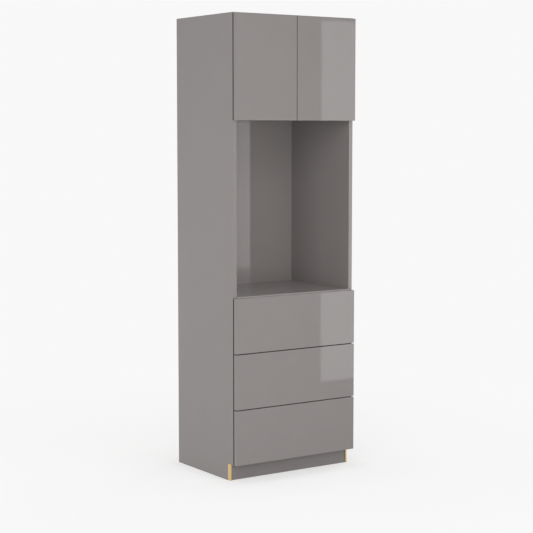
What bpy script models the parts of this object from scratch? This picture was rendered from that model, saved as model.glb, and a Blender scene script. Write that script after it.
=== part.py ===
"""Tall kitchen housing cabinet: two doors above an open appliance niche above three push-open drawers.

Metres, +Z up. The front faces -Y. The origin is the middle of the footprint, on the floor.
"""

import math

import bmesh
import bpy
from mathutils import Vector

# Fits, cuts and facets
FIT_GAP = 0.0003                 # clearance between two pieces that touch
CUT_OVERRUN = 0.002              # how far a cutter passes the face that it opens
MERGE_DISTANCE = 0.00001
TURNED_STEPS = 20
EDGE_SEGMENTS = 2
SHARP_ANGLE = math.radians(40)
FLAT_ANGLE = math.radians(0.5)
LEFT, RIGHT = -1, 1

# Carcass
WIDTH = 0.600
CARCASS_DEPTH = 0.436
BOARD_THICKNESS = 0.018
BOARD_EDGE_RADIUS = 0.0006
BACK_BOARD_THICKNESS = 0.016     # the visible board behind the niche
THIN_BACK_THICKNESS = 0.003      # hardboard behind the cupboard and the drawers
THIN_BACK_RECESS = 0.010
GROOVE_DEPTH = 0.007

# Fronts
FRONT_THICKNESS = 0.018
FRONT_STANDOFF = 0.0025          # air behind the closed fronts, the stroke of the push latches
FRONT_SIDE_REVEAL = 0.002
FRONT_GAP = 0.0035
FRONT_EDGE_RADIUS = 0.001

# Heights, from the floor upwards
TOE_HEIGHT = 0.069
DRAWER_FRONT_HEIGHT = 0.2255
NICHE_FLOOR_REVEAL = 0.0045      # niche floor above the top drawer's front
NICHE_HEIGHT = 0.7125
DOOR_DROP = 0.0015               # doors below the niche ceiling's underside
DOOR_HEIGHT = 0.424
TOP_REVEAL = 0.003               # carcass above the doors

# Plinth
TOE_NOTCH_DEPTH = 0.041
PLINTH_THICKNESS = 0.009
TRIM_WIDTH = 0.008
TRIM_DEPTH = 0.0135
TRIM_EDGE_RADIUS = 0.0005

# Shelf, its pins and their holes
SHELF_FRONT_SETBACK = 0.020
SHELF_REAR_CLEARANCE = 0.004
SHELF_SIDE_CLEARANCE = 0.001
PIN_HOLE_RADIUS = 0.0025
PIN_HOLE_DEPTH = 0.010
PIN_ROW_PITCH = 0.032
PIN_ROWS = 5
PIN_FRONT_SETBACK = 0.060
PIN_REAR_SETBACK = 0.060
PIN_COLLAR_RADIUS = 0.0035
PIN_COLLAR_LENGTH = 0.0012
PIN_STUB_LENGTH = 0.007
PIN_TIP_CHAMFER = 0.0006

# Concealed hinges
HINGE_END_DISTANCE = 0.090       # cup centre to the door's top or bottom edge
HINGE_CUP_EDGE_DISTANCE = 0.0225
HINGE_CUP_RADIUS = 0.0172
HINGE_CUP_DEPTH = 0.011
HINGE_CUP_WALL = 0.001
HINGE_FLANGE_THICKNESS = 0.001
HINGE_FLANGE_HALF_WIDTH = 0.0095
HINGE_FLANGE_HALF_HEIGHT = 0.026
HINGE_FLANGE_CORNER = 0.003
HINGE_ARM_WIDTH = 0.014
HINGE_ARM_RISE = 0.014           # arm above the side panel's face
HINGE_ARM_FLOAT = 0.004          # air under the arm's nose
HINGE_NOSE_PROUD = 0.0007
HINGE_PLATE_FRONT = 0.022
HINGE_ARM_SHOULDER = 0.030
HINGE_ARM_LENGTH = 0.075
HINGE_TAIL_RISE = 0.009
HINGE_PLATE_THICKNESS = 0.002
HINGE_PLATE_DEPTH = 0.032
HINGE_PLATE_HALF_HEIGHT = 0.024

# Push latches
LATCH_OFFSET = 0.026             # from the door split to the latch's middle
LATCH_WIDTH = 0.014
LATCH_HEIGHT = 0.013
LATCH_LENGTH = 0.042
LATCH_SETBACK = 0.003
PLUNGER_RADIUS = 0.0032
PLUNGER_HEAD_RADIUS = 0.0045
PLUNGER_HEAD_LENGTH = 0.0025
PLUNGER_LENGTH = 0.026
PLUNGER_STROKE = 0.002
PLUNGER_CHAMFER = 0.0005

# Wall brackets
BRACKET_SIDE_DISTANCE = 0.092    # from the side panel's face to the bracket's middle
BRACKET_WIDTH = 0.024
BRACKET_THICKNESS = 0.002
BRACKET_LEG = 0.030
BRACKET_DROP = 0.038
BRACKET_HOLE_RADIUS = 0.0025

# Drawer runners: sizes across the section, from the side panel's face inwards
RAIL_STEEL = 0.0012
RAIL_CLEARANCE = 0.0005
CABINET_RAIL_HALF_HEIGHT = 0.020
CABINET_RAIL_REACH = 0.0112
RUNNER_FRONT_SETBACK = 0.003
RUNNER_REAR_CLEARANCE = 0.020
RAIL_HEIGHT = 0.030              # runner's middle above the drawer's underside

# Drawer boxes
DRAWER_NAMES = ("bottom_drawer", "centre_drawer", "top_drawer")
DRAWER_LIFT = 0.030              # box underside above its front's lower edge
DRAWER_SIDE_DROP = 0.0555        # steel side below its front's upper edge
DRAWER_WALL_CLEARANCE = 0.0008
DRAWER_SIDE_WIDTH = 0.0125
DRAWER_FOOT_HEIGHT = 0.012
DRAWER_FOOT_REACH = 0.010
DRAWER_BOARD_THICKNESS = 0.016
DRAWER_BACK_DROP = 0.010

# Places that follow from the sizes above
HALF_WIDTH = WIDTH / 2
INNER_HALF = HALF_WIDTH - BOARD_THICKNESS
FRONT_HALF = HALF_WIDTH - FRONT_SIDE_REVEAL
TOTAL_DEPTH = CARCASS_DEPTH + FRONT_STANDOFF + FRONT_THICKNESS
FRONT_FACE_Y = -TOTAL_DEPTH / 2
FRONT_BACK_Y = FRONT_FACE_Y + FRONT_THICKNESS
CARCASS_Y = FRONT_BACK_Y + FRONT_STANDOFF
REAR_Y = CARCASS_Y + CARCASS_DEPTH
NICHE_BACK_Y = REAR_Y - BACK_BOARD_THICKNESS
THIN_BACK_REAR_Y = REAR_Y - THIN_BACK_RECESS
THIN_BACK_FACE_Y = THIN_BACK_REAR_Y - THIN_BACK_THICKNESS
RUNNER_FRONT_Y = CARCASS_Y + RUNNER_FRONT_SETBACK
RUNNER_REAR_Y = THIN_BACK_FACE_Y - RUNNER_REAR_CLEARANCE

DRAWER_PITCH = DRAWER_FRONT_HEIGHT + FRONT_GAP
DRAWER_STACK_TOP = TOE_HEIGHT + len(DRAWER_NAMES) * DRAWER_PITCH - FRONT_GAP
BOTTOM_BOARD_TOP = TOE_HEIGHT + BOARD_THICKNESS
NICHE_FLOOR_TOP = DRAWER_STACK_TOP + NICHE_FLOOR_REVEAL
NICHE_FLOOR_UNDER = NICHE_FLOOR_TOP - BOARD_THICKNESS
NICHE_CEILING_UNDER = NICHE_FLOOR_TOP + NICHE_HEIGHT
CUPBOARD_FLOOR = NICHE_CEILING_UNDER + BOARD_THICKNESS
DOOR_BOTTOM = NICHE_CEILING_UNDER - DOOR_DROP
DOOR_TOP = DOOR_BOTTOM + DOOR_HEIGHT
HEIGHT = DOOR_TOP + TOP_REVEAL
CUPBOARD_CEILING = HEIGHT - BOARD_THICKNESS
PIN_MIDDLE_Z = (CUPBOARD_FLOOR + CUPBOARD_CEILING) / 2
SHELF_UNDER = PIN_MIDDLE_Z + PIN_HOLE_RADIUS + FIT_GAP
PIN_COLUMNS_Y = (CARCASS_Y + PIN_FRONT_SETBACK, THIN_BACK_FACE_Y - PIN_REAR_SETBACK)
HINGE_HEIGHTS = {"upper": DOOR_TOP - HINGE_END_DISTANCE, "lower": DOOR_BOTTOM + HINGE_END_DISTANCE}

MIDDLE_RAIL_INNER = FIT_GAP + RAIL_STEEL + RAIL_CLEARANCE
MIDDLE_RAIL_REACH = CABINET_RAIL_REACH - RAIL_CLEARANCE
MIDDLE_RAIL_HALF_HEIGHT = CABINET_RAIL_HALF_HEIGHT - RAIL_STEEL - RAIL_CLEARANCE
MIDDLE_WEB_START = (MIDDLE_RAIL_INNER + MIDDLE_RAIL_REACH - RAIL_STEEL) / 2
MIDDLE_WEB_END = MIDDLE_WEB_START + RAIL_STEEL
DRAWER_RAIL_HALF_HEIGHT = MIDDLE_RAIL_HALF_HEIGHT - RAIL_STEEL - RAIL_CLEARANCE
DRAWER_RAIL_TIP = MIDDLE_WEB_END + RAIL_CLEARANCE
DRAWER_OUTER_WALL = CABINET_RAIL_REACH + DRAWER_WALL_CLEARANCE
DRAWER_INNER_WALL = DRAWER_OUTER_WALL + DRAWER_SIDE_WIDTH
DRAWER_SIDE_HEIGHT = DRAWER_FRONT_HEIGHT - DRAWER_LIFT - DRAWER_SIDE_DROP
DRAWER_FLOOR_UNDER = DRAWER_FOOT_HEIGHT + RAIL_STEEL + FIT_GAP
DRAWER_FLOOR_TOP = DRAWER_FLOOR_UNDER + DRAWER_BOARD_THICKNESS

# Turned about X or Y so that a flat outline stands up
ACROSS_X = (math.pi / 2, 0, math.pi / 2)
ACROSS_Y = (math.pi / 2, 0, 0)

# Finishes: linear colour, roughness, metallic
FINISHES = {
    "gloss_front": ((0.262, 0.245, 0.235), 0.06, 0.0),
    "carcass_board": ((0.262, 0.245, 0.235), 0.30, 0.0),
    "hardboard": ((0.200, 0.185, 0.175), 0.60, 0.0),
    "drawer_board": ((0.420, 0.415, 0.405), 0.45, 0.0),
    "gold_trim": ((0.780, 0.540, 0.230), 0.25, 1.0),
    "zinc_steel": ((0.560, 0.570, 0.580), 0.32, 1.0),
    "grey_steel": ((0.180, 0.180, 0.182), 0.40, 0.3),
    "nickel": ((0.620, 0.600, 0.570), 0.18, 1.0),
    "latch_plastic": ((0.300, 0.300, 0.300), 0.50, 0.0),
    "plunger_plastic": ((0.700, 0.700, 0.690), 0.40, 0.0),
}

for leftover in list(bpy.data.objects):
    bpy.data.objects.remove(leftover, do_unlink=True)

cabinet = bpy.data.collections.new("housing_cabinet")
cutters = bpy.data.collections.new("cabinet_cutters")
bpy.context.scene.collection.children.link(cabinet)
bpy.context.scene.collection.children.link(cutters)


# Placing, finishing and cutting
def anchor(name, position):
    """An empty that carries the pieces which move together, on their joint's axis."""
    empty = bpy.data.objects.new(name, None)
    empty.empty_display_size = BOARD_THICKNESS
    empty.location = position
    cabinet.objects.link(empty)
    return empty


def place(piece, position, parent, rotation=(0, 0, 0)):
    """Puts an object at a world position under its parent empty."""
    piece.parent = parent
    piece.location = Vector(position) - parent.location
    piece.rotation_euler = rotation
    return piece


def paint(piece, finish):
    """Gives a piece its own Principled material."""
    colour, roughness, metallic = FINISHES[finish]
    material = bpy.data.materials.new(f"{piece.name}_{finish}")
    material.use_nodes = True
    shader = material.node_tree.nodes["Principled BSDF"]
    shader.inputs["Base Color"].default_value = (*colour, 1)
    shader.inputs["Roughness"].default_value = roughness
    shader.inputs["Metallic"].default_value = metallic
    material.diffuse_color = (*colour, 1)
    piece.data.materials.append(material)
    return piece


def round_edges(piece, radius, segments=EDGE_SEGMENTS):
    """Rounds the sharp edges of a piece with a Bevel."""
    bevel = piece.modifiers.new("edge_radius", "BEVEL")
    bevel.width = radius
    bevel.segments = segments
    bevel.limit_method = "ANGLE"
    bevel.angle_limit = SHARP_ANGLE
    return piece


def combine(piece, tool, operation="DIFFERENCE"):
    """Cuts a piece with a cutter, or joins the cutter's shape to it."""
    boolean = piece.modifiers.new(tool.name, "BOOLEAN")
    boolean.operation = operation
    boolean.solver = "EXACT"
    boolean.object = tool
    return piece


def as_cutter(piece):
    """Marks a shape that only cuts or joins."""
    cutters.objects.link(piece)
    piece.hide_render = True
    piece.display_type = "WIRE"
    return piece


# Basic shapes
def box_mesh(name, size):
    """A box of the given size about its own middle."""
    mesh = bpy.data.meshes.new(name)
    work = bmesh.new()
    bmesh.ops.create_cube(work, size=1)
    bmesh.ops.scale(work, vec=size, verts=work.verts)
    work.to_mesh(mesh)
    work.free()
    return mesh


def box(name, low, high, parent):
    """An unlinked box object between two opposite corners."""
    low, high = Vector(low), Vector(high)
    piece = bpy.data.objects.new(name, box_mesh(name, high - low))
    return place(piece, (low + high) / 2, parent)


def board(name, low, high, finish, parent, edge=BOARD_EDGE_RADIUS):
    """A flat board between two corners, with its edges eased."""
    piece = box(name, low, high, parent)
    cabinet.objects.link(piece)
    thickness = min(piece.dimensions)
    round_edges(piece, min(edge, thickness / 3))
    return paint(piece, finish)


def rods_mesh(name, centres, radius, length, turn):
    """Equal cylinders side by side, each along the local Z axis that turn then lays over."""
    mesh = bpy.data.meshes.new(name)
    work = bmesh.new()
    for centre in centres:
        made = bmesh.ops.create_cone(work, cap_ends=True, segments=TURNED_STEPS, radius1=radius,
                                     radius2=radius, depth=length)
        bmesh.ops.rotate(work, verts=made["verts"], matrix=turn)
        bmesh.ops.translate(work, verts=made["verts"], vec=centre)
    work.to_mesh(mesh)
    work.free()
    return mesh


def rod_cutter(name, centres, radius, length, axis, parent):
    """A cutter of one or more cylinders along a world axis."""
    to_axis = Vector((0, 0, 1)).rotation_difference(Vector(axis)).to_matrix()
    origin = Vector(centres[0])
    offsets = [Vector(centre) - origin for centre in centres]
    cutter = bpy.data.objects.new(name, rods_mesh(name, offsets, radius, length, to_axis))
    return as_cutter(place(cutter, origin, parent))


def box_cutter(name, low, high, parent):
    """A box-shaped cutter between two corners."""
    return as_cutter(box(name, low, high, parent))


def anticlockwise(points):
    """The same outline, listed anticlockwise."""
    following = points[1:] + points[:1]
    doubled_area = sum(a[0] * b[1] - b[0] * a[1] for a, b in zip(points, following))
    return points if doubled_area > 0 else points[::-1]


def flat_outline(name, points, thickness, position, rotation, parent):
    """A flat outline with a thickness, as a filled curve."""
    curve = bpy.data.curves.new(name, "CURVE")
    curve.dimensions = "2D"
    curve.fill_mode = "BOTH"
    curve.extrude = thickness / 2
    spline = curve.splines.new("POLY")
    spline.points.add(len(points) - 1)
    for point, (across, up) in zip(spline.points, anticlockwise(points)):
        point.co = (across, up, 0, 1)
    spline.use_cyclic_u = True
    piece = bpy.data.objects.new(name, curve)
    cabinet.objects.link(piece)
    return place(piece, position, parent, rotation)


def as_mesh(outline):
    """Turns a filled curve into a welded mesh, so that it can be cut or joined."""
    bpy.context.view_layer.update()
    evaluated = outline.evaluated_get(bpy.context.evaluated_depsgraph_get())
    mesh = bpy.data.meshes.new_from_object(evaluated)
    work = bmesh.new()
    work.from_mesh(mesh)
    bmesh.ops.remove_doubles(work, verts=work.verts, dist=MERGE_DISTANCE)
    bmesh.ops.dissolve_limit(work, angle_limit=FLAT_ANGLE, verts=work.verts, edges=work.edges)
    work.to_mesh(mesh)
    work.free()
    name, parent, placed = outline.name, outline.parent, outline.matrix_world.copy()
    bpy.data.objects.remove(outline, do_unlink=True)
    piece = bpy.data.objects.new(name, mesh)
    mesh.name = name
    cabinet.objects.link(piece)
    piece.parent = parent
    bpy.context.view_layer.update()
    piece.matrix_world = placed
    return piece


def turned(name, profile, position, rotation, parent, finish):
    """A turned piece: a profile of (radius, height) points from the top down, swept about local Z."""
    mesh = bpy.data.meshes.new(name)
    work = bmesh.new()
    corners = [work.verts.new((radius, 0, height)) for radius, height in profile]
    for start, end in zip(corners, corners[1:]):
        work.edges.new((start, end))
    work.to_mesh(mesh)
    work.free()
    piece = bpy.data.objects.new(name, mesh)
    cabinet.objects.link(piece)
    screw = piece.modifiers.new("turned", "SCREW")
    screw.axis = "Z"
    screw.angle = math.tau
    screw.steps = TURNED_STEPS
    screw.render_steps = TURNED_STEPS
    screw.use_merge_vertices = True
    screw.merge_threshold = MERGE_DISTANCE
    screw.use_smooth_shade = True
    return paint(place(piece, position, parent, rotation), finish)


def side_name(side):
    """The word for one side of the cabinet, as seen from the front."""
    return "left" if side == LEFT else "right"


# Carcass
def side_panel(side, root):
    """One full-height side, notched for the toe space, grooved and bored on its inner face."""
    word = side_name(side)
    outline = [
        (CARCASS_Y + TOE_NOTCH_DEPTH, 0),
        (REAR_Y, 0),
        (REAR_Y, HEIGHT),
        (CARCASS_Y, HEIGHT),
        (CARCASS_Y, TOE_HEIGHT),
        (CARCASS_Y + TOE_NOTCH_DEPTH, TOE_HEIGHT),
    ]
    middle_x = side * (HALF_WIDTH - BOARD_THICKNESS / 2)
    panel = as_mesh(flat_outline(f"{word}_side_panel", outline, BOARD_THICKNESS, (middle_x, 0, 0),
                                 ACROSS_X, root))
    round_edges(panel, BOARD_EDGE_RADIUS)
    inner_x, groove_x = side * (INNER_HALF - CUT_OVERRUN), side * (INNER_HALF + GROOVE_DEPTH)
    for bay, low_z, high_z in (("cupboard", CUPBOARD_FLOOR, CUPBOARD_CEILING),
                               ("drawer_bay", BOTTOM_BOARD_TOP, NICHE_FLOOR_UNDER)):
        low = (min(inner_x, groove_x), THIN_BACK_FACE_Y - FIT_GAP, low_z)
        high = (max(inner_x, groove_x), THIN_BACK_REAR_Y + FIT_GAP, high_z)
        combine(panel, box_cutter(f"{word}_{bay}_groove_cutter", low, high, root))
    hole_length = PIN_HOLE_DEPTH + CUT_OVERRUN
    hole_x = side * (INNER_HALF + PIN_HOLE_DEPTH - hole_length / 2)
    lowest = PIN_MIDDLE_Z - (PIN_ROWS - 1) / 2 * PIN_ROW_PITCH
    centres = [(hole_x, column, lowest + row * PIN_ROW_PITCH)
               for column in PIN_COLUMNS_Y for row in range(PIN_ROWS)]
    combine(panel, rod_cutter(f"{word}_pin_hole_cutter", centres, PIN_HOLE_RADIUS, hole_length,
                              (1, 0, 0), root))
    return paint(panel, "carcass_board")


def cross_panels(root):
    """The boards between the sides, from the top down; the niche's two end at its back board."""
    reach = INNER_HALF - FIT_GAP
    niche_rear = NICHE_BACK_Y - FIT_GAP
    for name, under, rear in (("top_panel", CUPBOARD_CEILING, REAR_Y),
                              ("niche_ceiling_panel", NICHE_CEILING_UNDER, niche_rear),
                              ("niche_floor_panel", NICHE_FLOOR_UNDER, niche_rear),
                              ("bottom_panel", TOE_HEIGHT, REAR_Y)):
        board(name, (-reach, CARCASS_Y, under), (reach, rear, under + BOARD_THICKNESS),
              "carcass_board", root)


def back_panels(root):
    """A thick board behind the niche and its two cross panels, and hardboard in grooves above and below."""
    reach = INNER_HALF - FIT_GAP
    board("niche_back_panel", (-reach, NICHE_BACK_Y, NICHE_FLOOR_UNDER), (reach, REAR_Y, CUPBOARD_FLOOR),
          "carcass_board", root)
    thin_reach = INNER_HALF + GROOVE_DEPTH - FIT_GAP
    for name, floor, ceiling in (("cupboard_back_panel", CUPBOARD_FLOOR, CUPBOARD_CEILING),
                                 ("drawer_bay_back_panel", BOTTOM_BOARD_TOP, NICHE_FLOOR_UNDER)):
        board(name, (-thin_reach, THIN_BACK_FACE_Y, floor + FIT_GAP),
              (thin_reach, THIN_BACK_REAR_Y, ceiling - FIT_GAP), "hardboard", root)


def plinth(root):
    """The recessed board at the toes, between two metal bars that stand a little proud of it."""
    rear = CARCASS_Y + TOE_NOTCH_DEPTH - FIT_GAP
    top = TOE_HEIGHT - FIT_GAP
    reach = HALF_WIDTH - TRIM_WIDTH - FIT_GAP
    board("plinth_board", (-reach, rear - PLINTH_THICKNESS, 0), (reach, rear, top), "carcass_board", root)
    for side in (LEFT, RIGHT):
        across = sorted((side * HALF_WIDTH, side * (HALF_WIDTH - TRIM_WIDTH)))
        board(f"{side_name(side)}_plinth_trim", (across[0], rear - TRIM_DEPTH, 0),
              (across[1], rear, top), "gold_trim", root, TRIM_EDGE_RADIUS)


# Shelf
def shelf_and_pins(root):
    """The loose shelf in the cupboard, on four pins."""
    reach = INNER_HALF - SHELF_SIDE_CLEARANCE
    board("cupboard_shelf", (-reach, CARCASS_Y + SHELF_FRONT_SETBACK, SHELF_UNDER),
          (reach, THIN_BACK_FACE_Y - SHELF_REAR_CLEARANCE, SHELF_UNDER + BOARD_THICKNESS),
          "carcass_board", root)
    shank_radius = PIN_HOLE_RADIUS - FIT_GAP
    collar_start = FIT_GAP
    collar_end = collar_start + PIN_COLLAR_LENGTH
    shelf_drop = SHELF_UNDER - FIT_GAP - PIN_MIDDLE_Z
    collar_radius = min(PIN_COLLAR_RADIUS, shelf_drop)
    profile = [
        (0, PIN_STUB_LENGTH),
        (shelf_drop - PIN_TIP_CHAMFER, PIN_STUB_LENGTH),
        (shelf_drop, PIN_STUB_LENGTH - PIN_TIP_CHAMFER),
        (collar_radius, collar_end),
        (collar_radius, collar_start),
        (shank_radius, collar_start),
        (shank_radius, FIT_GAP + PIN_TIP_CHAMFER - PIN_HOLE_DEPTH),
        (shank_radius - PIN_TIP_CHAMFER, FIT_GAP - PIN_HOLE_DEPTH),
        (0, FIT_GAP - PIN_HOLE_DEPTH),
    ]
    for side in (LEFT, RIGHT):
        for row, column in zip(("front", "rear"), PIN_COLUMNS_Y):
            turned(f"{row}_{side_name(side)}_shelf_pin", profile, (side * INNER_HALF, column, PIN_MIDDLE_Z),
                   (0, -side * math.pi / 2, 0), root, "zinc_steel")


# Doors, hinges and latches
def hinge_arm(side, level, root):
    """The arm and mounting plate on the side panel, whose nose ends at the door's cup."""
    outline = [
        (HINGE_ARM_FLOAT, -HINGE_NOSE_PROUD),
        (HINGE_ARM_RISE, -HINGE_NOSE_PROUD),
        (HINGE_ARM_RISE, HINGE_ARM_SHOULDER),
        (HINGE_TAIL_RISE, HINGE_ARM_LENGTH),
        (FIT_GAP, HINGE_ARM_LENGTH),
        (FIT_GAP, HINGE_PLATE_FRONT),
        (HINGE_ARM_FLOAT, HINGE_PLATE_FRONT - HINGE_ARM_FLOAT),
    ]
    points = [(-side * inward, back) for inward, back in outline]
    middle = (side * INNER_HALF, CARCASS_Y, HINGE_HEIGHTS[level])
    name = f"{side_name(side)}_{level}_hinge_arm"
    arm = as_mesh(flat_outline(name, points, HINGE_ARM_WIDTH, middle, (0, 0, 0), root))
    plate_x = sorted(side * (INNER_HALF - inward) for inward in (FIT_GAP, FIT_GAP + HINGE_PLATE_THICKNESS))
    plate_start = CARCASS_Y + HINGE_ARM_SHOULDER
    plate = box_cutter(f"{name}_plate", (plate_x[0], plate_start, middle[2] - HINGE_PLATE_HALF_HEIGHT),
                       (plate_x[1], plate_start + HINGE_PLATE_DEPTH, middle[2] + HINGE_PLATE_HALF_HEIGHT),
                       root)
    combine(arm, plate, "UNION")
    return paint(arm, "nickel")


def hinge_cup(side, level, door, pivot):
    """The cup in the door's bore, with its flange on the door's back."""
    name = f"{side_name(side)}_{level}_hinge_cup"
    centre_x = side * (FRONT_HALF - HINGE_CUP_EDGE_DISTANCE)
    centre_z = HINGE_HEIGHTS[level]
    half_w, half_h, corner = HINGE_FLANGE_HALF_WIDTH, HINGE_FLANGE_HALF_HEIGHT, HINGE_FLANGE_CORNER
    outline = [
        (half_w - corner, -half_h),
        (half_w, corner - half_h),
        (half_w, half_h - corner),
        (half_w - corner, half_h),
        (corner - half_w, half_h),
        (-half_w, half_h - corner),
        (-half_w, corner - half_h),
        (corner - half_w, -half_h),
    ]
    flange_front = FRONT_BACK_Y + FIT_GAP
    flange_back = flange_front + HINGE_FLANGE_THICKNESS
    flange_middle = (flange_front + flange_back) / 2
    cup = as_mesh(flat_outline(name, outline, HINGE_FLANGE_THICKNESS, (centre_x, flange_middle, centre_z),
                               ACROSS_Y, pivot))
    cup_front = FRONT_BACK_Y - HINGE_CUP_DEPTH
    body_length = flange_back - cup_front
    body = rod_cutter(f"{name}_body", [(centre_x, cup_front + body_length / 2, centre_z)],
                      HINGE_CUP_RADIUS, body_length, (0, 1, 0), pivot)
    hollow_length = body_length - HINGE_CUP_WALL + CUT_OVERRUN
    hollow = rod_cutter(f"{name}_hollow",
                        [(centre_x, cup_front + HINGE_CUP_WALL + hollow_length / 2, centre_z)],
                        HINGE_CUP_RADIUS - HINGE_CUP_WALL, hollow_length, (0, 1, 0), pivot)
    combine(cup, body, "UNION")
    combine(cup, hollow)
    bore_length = HINGE_CUP_DEPTH + FIT_GAP + CUT_OVERRUN
    bore = rod_cutter(f"{name}_bore", [(centre_x, cup_front - FIT_GAP + bore_length / 2, centre_z)],
                      HINGE_CUP_RADIUS + FIT_GAP, bore_length, (0, 1, 0), pivot)
    combine(door, bore)
    return paint(cup, "nickel")


def door(side, root):
    """One overlay door with two hinges, turning about its outer front edge."""
    word = side_name(side)
    pivot = anchor(f"{word}_door_pivot", (side * FRONT_HALF, FRONT_FACE_Y, (DOOR_BOTTOM + DOOR_TOP) / 2))
    across = sorted((side * FRONT_HALF, side * FRONT_GAP / 2))
    panel = board(f"{word}_door_panel", (across[0], FRONT_FACE_Y, DOOR_BOTTOM),
                  (across[1], FRONT_BACK_Y, DOOR_TOP), "gloss_front", pivot, FRONT_EDGE_RADIUS)
    for level in HINGE_HEIGHTS:
        hinge_arm(side, level, root)
        hinge_cup(side, level, panel, pivot)


def push_latch(side, root):
    """A latch under the top panel, whose sprung plunger rests on the door's back."""
    word = side_name(side)
    centre_x = side * LATCH_OFFSET
    top = CUPBOARD_CEILING - FIT_GAP
    centre_z = top - LATCH_HEIGHT / 2
    front = CARCASS_Y + LATCH_SETBACK
    body = board(f"{word}_latch_body", (centre_x - LATCH_WIDTH / 2, front, top - LATCH_HEIGHT),
                 (centre_x + LATCH_WIDTH / 2, front + LATCH_LENGTH, top), "latch_plastic", root)
    tip = FRONT_BACK_Y + FIT_GAP
    plunger_end = tip + PLUNGER_LENGTH
    bore_end = plunger_end + PLUNGER_STROKE + FIT_GAP
    bore_length = bore_end - front + CUT_OVERRUN
    bore = rod_cutter(f"{word}_latch_bore_cutter", [(centre_x, bore_end - bore_length / 2, centre_z)],
                      PLUNGER_RADIUS + FIT_GAP, bore_length, (0, 1, 0), root)
    combine(body, bore)
    carrier = anchor(f"{word}_latch_axis", (centre_x, tip, centre_z))
    profile = [
        (0, 0),
        (PLUNGER_HEAD_RADIUS - PLUNGER_CHAMFER, 0),
        (PLUNGER_HEAD_RADIUS, -PLUNGER_CHAMFER),
        (PLUNGER_HEAD_RADIUS, -PLUNGER_HEAD_LENGTH),
        (PLUNGER_RADIUS, -PLUNGER_HEAD_LENGTH),
        (PLUNGER_RADIUS, PLUNGER_CHAMFER - PLUNGER_LENGTH),
        (PLUNGER_RADIUS - PLUNGER_CHAMFER, -PLUNGER_LENGTH),
        (0, -PLUNGER_LENGTH),
    ]
    turned(f"{word}_latch_plunger", profile, (centre_x, tip, centre_z), ACROSS_Y, carrier, "plunger_plastic")


def wall_bracket(side, root):
    """A steel angle in the cupboard's rear top corner, which holds the cabinet to the wall."""
    word = side_name(side)
    top = CUPBOARD_CEILING - FIT_GAP
    rear = THIN_BACK_FACE_Y - FIT_GAP
    outline = [
        (rear - BRACKET_LEG, top),
        (rear - BRACKET_LEG, top - BRACKET_THICKNESS),
        (rear - BRACKET_THICKNESS, top - BRACKET_THICKNESS),
        (rear - BRACKET_THICKNESS, top - BRACKET_DROP),
        (rear, top - BRACKET_DROP),
        (rear, top),
    ]
    centre_x = side * (INNER_HALF - BRACKET_SIDE_DISTANCE)
    bracket = as_mesh(flat_outline(f"{word}_wall_bracket", outline, BRACKET_WIDTH, (centre_x, 0, 0),
                                   ACROSS_X, root))
    hole_length = BRACKET_THICKNESS + 2 * CUT_OVERRUN
    wall_hole = rod_cutter(f"{word}_bracket_wall_hole",
                           [(centre_x, rear - BRACKET_THICKNESS / 2, top - BRACKET_DROP * 2 / 3)],
                           BRACKET_HOLE_RADIUS, hole_length, (0, 1, 0), root)
    top_hole = rod_cutter(f"{word}_bracket_top_hole",
                          [(centre_x, rear - BRACKET_LEG * 2 / 3, top - BRACKET_THICKNESS / 2)],
                          BRACKET_HOLE_RADIUS, hole_length, (0, 0, 1), root)
    combine(bracket, wall_hole)
    combine(bracket, top_hole)
    return paint(bracket, "zinc_steel")


# Drawers and their runners
def section(name, side, outline, start_y, end_y, base_z, parent, finish):
    """A steel section along Y; its outline is (distance from the side panel, height) points."""
    points = [(-side * inward, up) for inward, up in outline]
    middle = (side * INNER_HALF, (start_y + end_y) / 2, base_z)
    piece = flat_outline(name, points, end_y - start_y, middle, ACROSS_Y, parent)
    return paint(piece, finish)


def cabinet_rail_outline():
    """A channel, open towards the drawer."""
    half, reach, steel = CABINET_RAIL_HALF_HEIGHT, CABINET_RAIL_REACH, RAIL_STEEL
    web = FIT_GAP + steel
    return [
        (FIT_GAP, -half),
        (reach, -half),
        (reach, steel - half),
        (web, steel - half),
        (web, half - steel),
        (reach, half - steel),
        (reach, half),
        (FIT_GAP, half),
    ]


def middle_rail_outline():
    """An H on its side, between the cabinet's channel and the drawer's flanges."""
    half, steel = MIDDLE_RAIL_HALF_HEIGHT, RAIL_STEEL
    near, far = MIDDLE_RAIL_INNER, MIDDLE_RAIL_REACH
    return [
        (near, -half),
        (far, -half),
        (far, steel - half),
        (MIDDLE_WEB_END, steel - half),
        (MIDDLE_WEB_END, half - steel),
        (far, half - steel),
        (far, half),
        (near, half),
        (near, half - steel),
        (MIDDLE_WEB_START, half - steel),
        (MIDDLE_WEB_START, steel - half),
        (near, steel - half),
    ]


def drawer_side_outline():
    """A double-walled steel side: runner flanges outside, a foot inside that carries the floor."""
    outer, inner, steel = DRAWER_OUTER_WALL, DRAWER_INNER_WALL, RAIL_STEEL
    top, foot, tip = DRAWER_SIDE_HEIGHT, DRAWER_FOOT_HEIGHT, DRAWER_RAIL_TIP
    upper, lower = RAIL_HEIGHT + DRAWER_RAIL_HALF_HEIGHT, RAIL_HEIGHT - DRAWER_RAIL_HALF_HEIGHT
    foot_tip = inner + DRAWER_FOOT_REACH
    return [
        (outer, 0),
        (outer + steel, 0),
        (outer + steel, top - steel),
        (inner - steel, top - steel),
        (inner - steel, foot),
        (foot_tip, foot),
        (foot_tip, foot + steel),
        (inner, foot + steel),
        (inner, top),
        (outer, top),
        (outer, upper),
        (tip, upper),
        (tip, upper - steel),
        (outer, upper - steel),
        (outer, lower + steel),
        (tip, lower + steel),
        (tip, lower),
        (outer, lower),
    ]


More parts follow.
